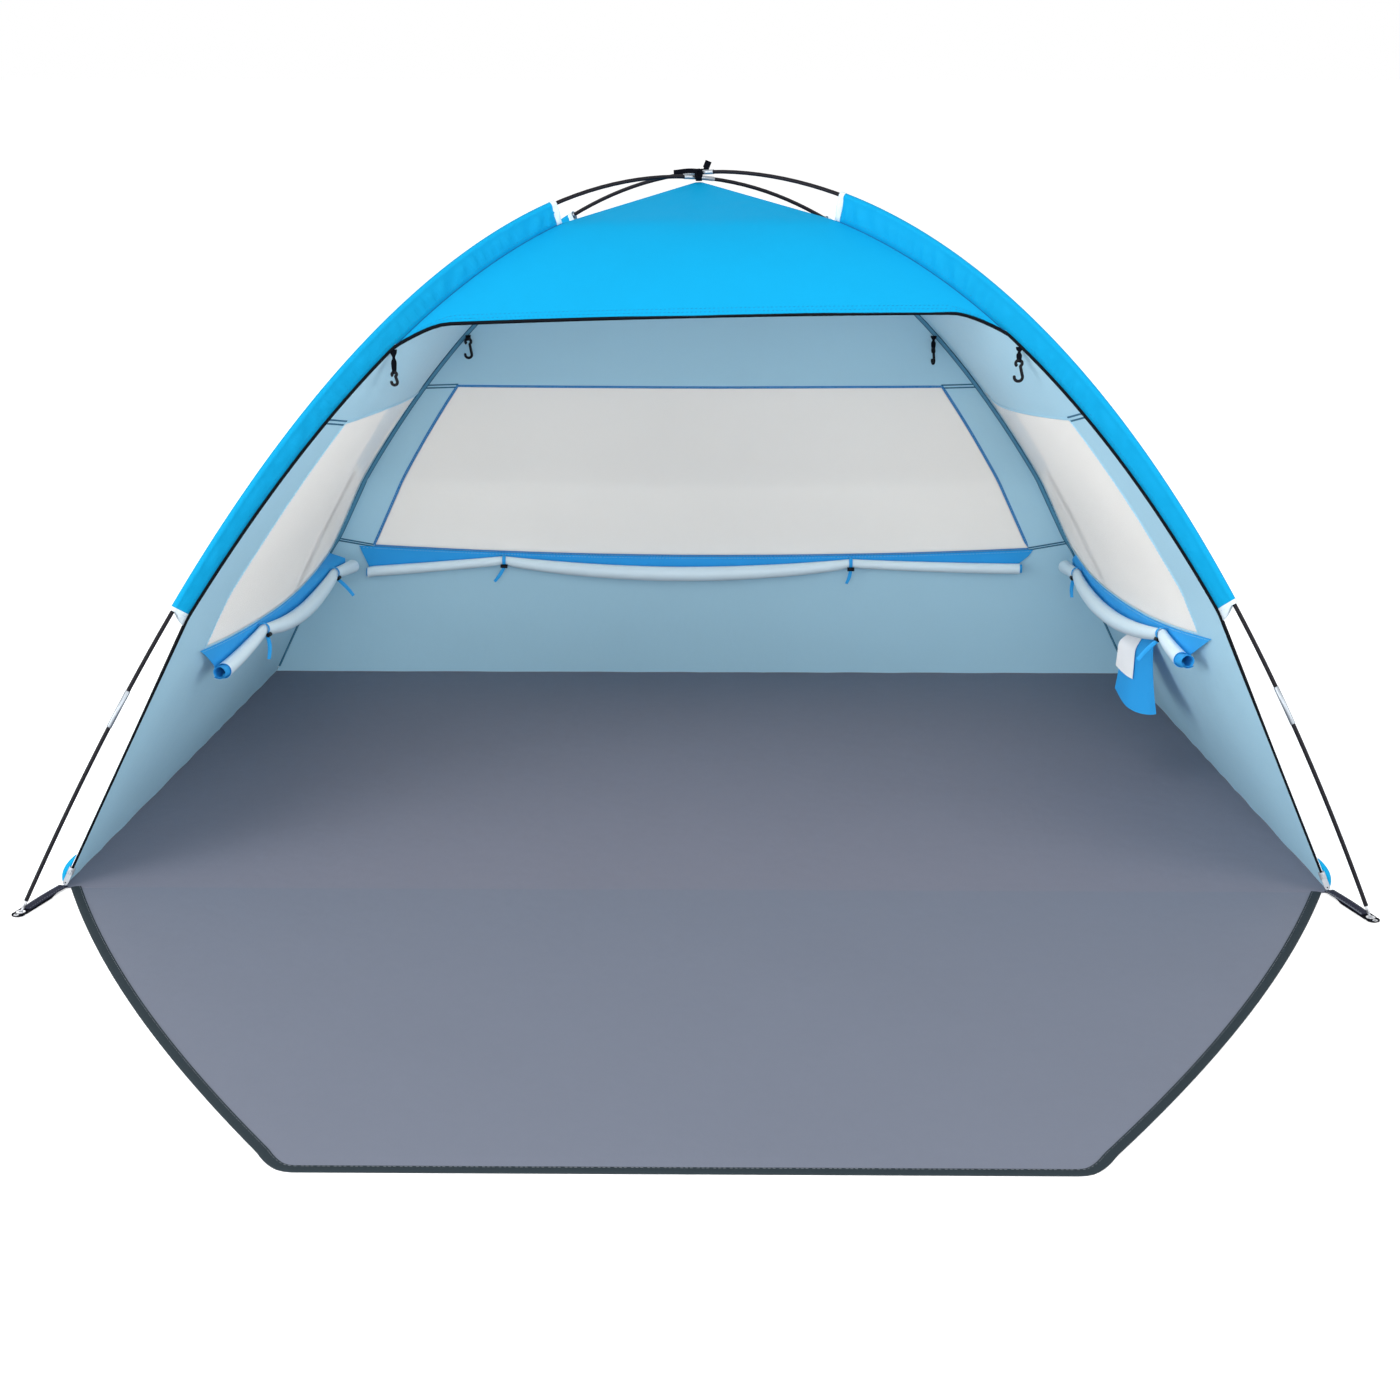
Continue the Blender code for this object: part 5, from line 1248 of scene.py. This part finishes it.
def build_corner_strap(side, front):
    """Doubled webbing with a round end, its hole left free for the eyelet."""
    word = corner_word(side, front)
    foot, pole_along = feet_line(side, front)[:2]
    foot = foot + pole_along * EYELET_HEIGHT / 2 / arch_slope(side, front, 0)
    corner = ground_point(side, front)
    along = (foot - corner).normalized()
    across = along.cross(UP)
    start = foot + along * ((ground_point(side, front, 0, FLOOR_HEM + STRAP_GAP).y - foot.y) / along.y)
    length = (foot - start).length
    rows = []
    for ring in spread(6):
        row = []
        for step in range(STRAP_SIDES):
            turn = 2 * pi * step / STRAP_SIDES
            way = along * cos(turn) + across * sin(turn)
            reach = mix(EYELET_HOLE_RADIUS, strap_outline(turn, length), ring ** 1.2)
            row.append(foot + way * reach + UP * STRAP_HEIGHT)
        rows.append(row)
    piece = shell(word + "_corner_strap", rows, STRAP_THICKNESS, webbing, "black_webbing",
                  word + "_strap", wrap=True, flip=True)
    flat = (STRAP_WIDTH, length + STRAP_BEYOND)
    trims = build_strap_top(word, start, foot, length)
    min(flat[0] * flat[1], grid_area(rows) * 1.1)


def build_strap_top(word, start, foot, length):
    """Second layer of a corner strap, its stitched edges and the spare eyelet."""
    along = (foot - start).normalized()
    across = along.cross(UP)
    half = STRAP_WIDTH / 2
    path = [start - along * 0.006 + along * (length - 0.010) * share
            + UP * (0.0036 + 0.0012 * sin(pi * share)) for share in spread(16)]
    top = tape(word + "_strap_top", path, [UP] * 17, 2 * half - 2 * STRAP_TOP_INSET, STRAP_TOP_THICKNESS,
               webbing_navy, 0.0005, "black_webbing")
    line = [point + across * (half - STRAP_EDGE_INSET) + UP * 0.0006 for point in path]
    edge = rod(word + "_strap_edge", line, STRAP_EDGE_RADIUS, thread_grey, 8, "black_webbing")
    aside = half - STRAP_STITCH_INSET
    runs = [([point + across * shift * aside + UP * 0.0012 for point in path], [UP] * 17)
            for shift in (-1, 1)]
    threads = sew(word + "_strap_stitches", runs, thread_grey, SHORT_STITCH, "black_webbing")
    centre = foot + along * SPARE_EYELET_PLACE
    rows = []
    for step in range(25):
        turn = 2 * pi * (step % 24) / 24
        way = Vector((cos(turn), sin(turn), 0))
        rows.append([centre + way * size + UP * height for size, height in SPARE_EYELET])
    ring = shell(word + "_spare_eyelet", rows, SPARE_EYELET_THICKNESS, bright_metal, "nickel_plate")
    return [top, edge, threads, ring]


GUSSET_SHARES = (0.003, 0.046)
GUSSET_REACH = 0.0115


def build_corner_patch(side):
    """Blue gusset of the outer cloth that puffs out at the foot of the doorway."""
    rows = []
    for up in spread(18):
        seam = seam_point(side, FRONT, mix(*GUSSET_SHARES, up))
        reach = GUSSET_REACH * sin(pi * up) ** 0.8 + 0.001
        rows.append([seam + Vector((side * (0.0030 + reach * out),
                                    0.003 - 0.004 * sin(pi * out) * sin(pi * up) + 0.006 * out, 0.0020))
                     for out in spread(8)])
    piece = shell(WORDS[side] + "_corner_gusset", rows, CLOTH, sleeve_blue, "blue_cloth", flip=side > 0)
    declare_cloth(rows)


# Lantern hooks

HOOK_SHARES = {(LEFT, FRONT): 0.664, (RIGHT, FRONT): 0.649, (LEFT, REAR): 0.598, (RIGHT, REAR): 0.598}
HOOK_DEPTHS = {FRONT: 0.0047, REAR: 0.0104}
HOOK_WIRE_RADIUS = 0.0030
HOOK_WEBBING_THICKNESS = 0.0022
HOOK_WEBBING_TOP_WIDTHS = (0.0120, 0.0135)
HOOK_WEBBING_FOOT_WIDTH = 0.0095
LONG_WEBBING = 0.02
HOOK_SIZES = {
    (LEFT, FRONT): (0.044, 0.0044, 0.0690, 0.0056, (1, 0, 0)),
    (RIGHT, FRONT): (0.026, 0.0060, 0.0660, 0.0078, (1, 0, 0)),
    (LEFT, REAR): (0.009, 0.0062, 0.0520, 0.0074, (1, 0, 0)),
    (RIGHT, REAR): (0.028, 0.0056, 0.0630, 0.0066, (0.25, -0.97, 0)),
}


def build_hook(side, front):
    """Twisted webbing strip with a round-wired hook in its loop, hanging from its top edge."""
    word = corner_word(side, front)
    body = word + "_hook_body"
    share = HOOK_SHARES[side, front]
    reach = sleeve_reach(side, front, (share - SLEEVE_LOW_SHARE) / (SLEEVE_HIGH_SHARE - SLEEVE_LOW_SHARE))
    anchor = seam_point(side, front, share) + inward_normal(side, front, reach) * HOOK_DEPTHS[front]
    strip_length, eye_radius, lowest, bend_radius, facing = HOOK_SIZES[side, front]
    facing = Vector(facing)
    long_strip = strip_length > LONG_WEBBING
    points = [anchor - UP * drop for drop in spread(24, -0.002, strip_length + 0.001)]
    normals = []
    widths = []
    for down in spread(24):
        turn = radians(mix(12, 50, smooth(down))) * -side
        normals.append(Vector((sin(turn), -cos(turn), 0)))
        waist = exp(-((down - 0.32) / 0.13) ** 2) if long_strip else 0
        width = mix(HOOK_WEBBING_TOP_WIDTHS[long_strip], HOOK_WEBBING_FOOT_WIDTH, down)
        widths.append(width * (1 - 0.62 * waist) * (1 - 0.25 * smooth((down - 0.8) / 0.2)))
    rows = tape_rows(points, normals, widths, 0.0006)
    strip = shell(word + "_hook_webbing", rows, HOOK_WEBBING_THICKNESS, webbing, "black_webbing",
                  word + "_hook", body=body, flip=True)
    declare_cloth(rows)

    def arc(centre, radius, start, end, count):
        turns = [radians(angle) for angle in spread(count, start, end)]
        return [centre + facing * radius * cos(turn) + UP * radius * sin(turn) for turn in turns]

    eye = arc(anchor - UP * (strip_length + eye_radius - 0.0030), eye_radius, 235, -60, 32)
    tail = arc(anchor - UP * (lowest - bend_radius - HOOK_WIRE_RADIUS), bend_radius, 20, -205, 24)
    bridge = [eye[-1].lerp(tail[0], share) for share in spread(6)[1:-1]]
    whole = eye + bridge + tail
    radii = [HOOK_WIRE_RADIUS] * (len(whole) - 2) + [HOOK_WIRE_RADIUS * 0.9, HOOK_WIRE_RADIUS * 0.5]
    rod(word + "_lantern_hook", whole, radii, moulded_black, 12, "black_plastic", body=body)


# Hanging tab and crown tie

TAB_COLUMN = 3.9
TAB_ROW_SHARE = 0.73
TAB_TOP_HALF_WIDTH = 0.056
TAB_FOOT_HALF_WIDTH = 0.095
TAB_LENGTH = 0.150
TAB_FOOT_BOW = 0.020
LABEL_THICKNESS = 0.0005


def build_hanging_tab():
    """Wavy piece of the cover cloth on the right wall, with a plain woven label sewn to its top."""
    first_edge, second_edge, sill = WINDOWS["right"][:3]
    across = mix(first_edge[0], second_edge[0], (TAB_COLUMN - 1) / SOLID_COLUMNS)
    up = mix(START_SHARE, bend(sill, across), 0.5 + TAB_ROW_SHARE / 2)
    normal = -panel_normal("right", across, up)
    rearward = -UP.cross(normal).normalized()
    inward = Vector((normal.x, normal.y, 0)).normalized()
    top = panel_point("right", across, up) + inward * (0.0020 / normal.dot(inward))

    def at(share, down, lift=0.0):
        half = mix(TAB_TOP_HALF_WIDTH, TAB_FOOT_HALF_WIDTH, down ** 2)
        drop = TAB_LENGTH * down + TAB_FOOT_BOW * down * (1 - share ** 2)
        wave = 0.0055 * down * sin(3.1 * share + 1.2) * (0.4 + 0.6 * down) + 0.004 * down * abs(share)
        turned = 0.028 * smooth(4 * down) * (share + 1) / 2
        return top + rearward * half * share - UP * drop + inward * (wave + turned + lift)

    rows = [[at(share, down) for share in spread(28, -1, 1)] for down in spread(30)]
    piece = shell("hanging_cloth_tab", rows, CLOTH, cover_blue, "blue_cloth", "hanging_tab")
    label_rows = [[at(mix(0.02, 0.97, share), mix(0.03, 0.60, down),
                      0.0022 + 0.007 * (0.3 + 0.7 * share) * smooth(2 * down)) for share in spread(12)]
                  for down in spread(16)]
    label = shell("plain_woven_label", label_rows, LABEL_THICKNESS, label_cloth, "label_cloth",
                  "blank_label")
    run = [at(share, 0.045, 0.0030) for share in spread(6, 0.05, 0.94)]
    threads = sew("label_stitches", [(run, [inward] * 7)], thread_grey, SHORT_STITCH, "label_cloth")
    declare_cloth(rows)


BAND_WIDTH = 0.0130
BAND_SWELL = 0.03
BAND_THICKNESS = 0.0013
KNOT_RADIUS = 0.0030
CROWN_TAIL_LENGTH = 0.048
CROWN_STUB_HEIGHT = 0.016
CROWN_STRAP_WIDTH = 0.0095
CROWN_STRAP_THICKNESS = 0.0016


def build_crown_tie():
    """Webbing wound round both poles, its knot in front, a strap along the pole and a standing end."""
    lie = Matrix.Translation(CROSSING) @ Matrix.Rotation(CROSSING_LEAN, 4, "X")
    spacing = 0.007 * LEFT_ALONG.y / LEFT_ALONG.x + FERRULE_RADIUS / LEFT_ALONG.x
    half_width = spacing / cos(CROSSING_LEAN) + abs(CROSSING_RISE * sin(CROSSING_LEAN)) + 0.0010
    half_height = 2 * FERRULE_RADIUS + 0.0012
    section = []
    for turn in spread(32, 0, 2 * pi):
        y, z = cos(turn), sin(turn)
        power = (abs(y) ** 5 + abs(z) ** 5) ** 0.2
        section.append((half_width * y / power, half_height * z / power))
    rows = []
    for share in spread(6, -1, 1):
        swell = 1 + BAND_SWELL * (1 - share * share)
        rows.append([lie @ Vector((share * BAND_WIDTH / 2, y * swell, z * swell)) for y, z in section[:-1]])
    band = shell("crown_webbing", rows, BAND_THICKNESS, webbing, "black_webbing", "crown_tie", wrap=True)
    loop = [lie @ Vector((0.0055 * cos(turn), -half_width - 0.0015 - 0.0018 * sin(2 * turn),
                          0.001 + 0.0078 * sin(turn) - 0.0006 * turn / (4 * pi)))
            for turn in spread(28, 0, 4 * pi)]
    knot = rod("crown_knot", loop, KNOT_RADIUS, webbing, 10, "black_webbing")
    tail = [lie @ Vector((-0.003 - reach, -half_width - 0.0012 + 0.10 * reach,
                          0.0060 + 0.0012 * sin(90 * reach) - 0.02 * reach))
            for reach in spread(16, 0, CROWN_TAIL_LENGTH)]
    forward = Vector((0, -1, 0.15)).normalized()
    strap = tape("crown_strap", tail, [forward] * 17, CROWN_STRAP_WIDTH, CROWN_STRAP_THICKNESS, webbing,
                 0.0005, "black_webbing")
    stand = [lie @ Vector((x, -0.001, half_height + 0.0004)) for x in spread(4, 0.004, 0.0125)[:-1]]
    stand += [lie @ Vector((0.0135 + 0.40 * reach, -0.001, half_height + 0.0010 + reach))
              for reach in spread(8, 0, CROWN_STUB_HEIGHT)]
    facing = [Vector((0, -0.2, 1)).normalized()] * 3 + [Vector((0, -1, 0))] * 10
    stub = tape("crown_stub", stand, facing, [0.004] * 4 + [BAND_WIDTH] * 9, CROWN_STRAP_THICKNESS, webbing,
                0.0005, "black_webbing")


# Camera, light and floor

STAGE_REACH = 30.0
FLOOR_GLOW = 0.42
SKY_LIGHT = 0.62
WHITE = (1, 1, 1, 1)
CAMERA_PLACE = (0.053, -4.918, 1.681)
CAMERA_TILT = radians(17.42)
CAMERA_YAW = 0.0103
PHOTO_SIDE = 1400
PHOTO_FOCUS = 2368
SENSOR = 36
LAMPS = {
    "key": ((-2.0, -3.6, 5.5), (0, 0, 0.5), 3.0, 75),
    "fill": ((4.0, -3.0, 4.0), (0, 0, 0.3), 3.0, 15),
    "front": ((0.0, -5.4, 2.1), (0, 0, 0.4), 3.5, 100),
    "left_low": ((-5.0, -3.6, 1.8), (0.8, 0, 0.3), 4.5, 190),
    "right_low": ((5.0, -3.6, 1.8), (-0.8, 0, 0.3), 4.5, 125),
    "rear": ((-2.0, 5.0, 3.2), (0, 0, 0.5), 3.0, 30),
}


def build_stage():
    """White paper on the ground, with a glow of its own where it is seen."""
    corners = [(x * STAGE_REACH, y * STAGE_REACH, 0) for x, y in ((-1, -1), (1, -1), (1, 1), (-1, 1))]
    nodes = new_material("ground_paper")
    grain = nodes.noise(180.0, 3.0)
    tone = nodes.blend_colour(grain, (0.93, 0.93, 0.93, 1), (0.97, 0.97, 0.97, 1))
    glow = nodes.math("MULTIPLY", nodes.background_rays(), FLOOR_GLOW)
    paper = nodes.finish(tone, nodes.bump(grain, 0.0002, 0.2), 0.9, Emission_Color=WHITE,
                         Emission_Strength=glow)
    floor = add_mesh("ground", corners, [(0, 1, 2, 3)], [paper])
    floor.location.z = -0.0002


def build_world():
    """White sky: full where it is seen, weaker as a light."""
    nodes = Nodes(bpy.data.worlds.new("studio"))
    bpy.context.scene.world = nodes.owner
    sky = nodes.feed(nodes.tree.nodes["Background"], {"Color": WHITE, "Strength": SKY_LIGHT})
    seen_sky = nodes.add("Background", Color=WHITE, Strength=1.0)
    mixer = nodes.tree.nodes.new("ShaderNodeMixShader")
    nodes.feed(mixer, {0: nodes.background_rays(), 1: sky.outputs[0], 2: seen_sky[0]})
    nodes.feed(nodes.tree.nodes["World Output"], {"Surface": mixer.outputs[0]})


def add_to_scene(name, data, place, turn):
    thing = bpy.data.objects.new(name, data)
    thing.location = place
    thing.rotation_euler = turn
    bpy.context.scene.collection.objects.link(thing)
    return thing


def build_camera():
    data = bpy.data.cameras.new("camera")
    data.sensor_width = SENSOR
    data.lens = SENSOR * PHOTO_FOCUS / PHOTO_SIDE
    turn = (pi / 2 - CAMERA_TILT, 0, CAMERA_YAW)
    bpy.context.scene.camera = add_to_scene("camera", data, CAMERA_PLACE, turn)


def build_lamps():
    for name, (place, target, size, power) in LAMPS.items():
        light = bpy.data.lights.new(name, "AREA")
        light.shape = "DISK"
        light.size = size
        light.energy = power
        turn = (Vector(target) - Vector(place)).to_track_quat("-Z", "Y").to_euler()
        add_to_scene(name, light, place, turn)


bpy.context.scene.view_settings.view_transform = "Standard"
build_camera()
build_world()
build_stage()
build_lamps()

for panel_word in ("left", "right"):
    build_wall(panel_word, (outer_side, inner_side))
    build_cover(panel_word)
build_wall("rear", (outer_end, inner_end))
build_cover("rear")
build_brow()
build_zip()
build_floor()
build_floor_welt()
build_porch()
for hand in (LEFT, RIGHT):
    build_pole(hand)
    build_rear_seam(hand)
    build_corner_patch(hand)
    dress_node(WORDS[hand] + "_zip_slider", pull_paint)
    dress_node(WORDS[hand] + "_zip_pull", pull_paint)
    for at_front in (FRONT, REAR):
        build_sleeve(hand, at_front)
        build_corner_strap(hand, at_front)
        build_hook(hand, at_front)
        dress_node(corner_word(hand, at_front) + "_eyelet", bright_metal)
build_crown_tie()
build_hanging_tab()
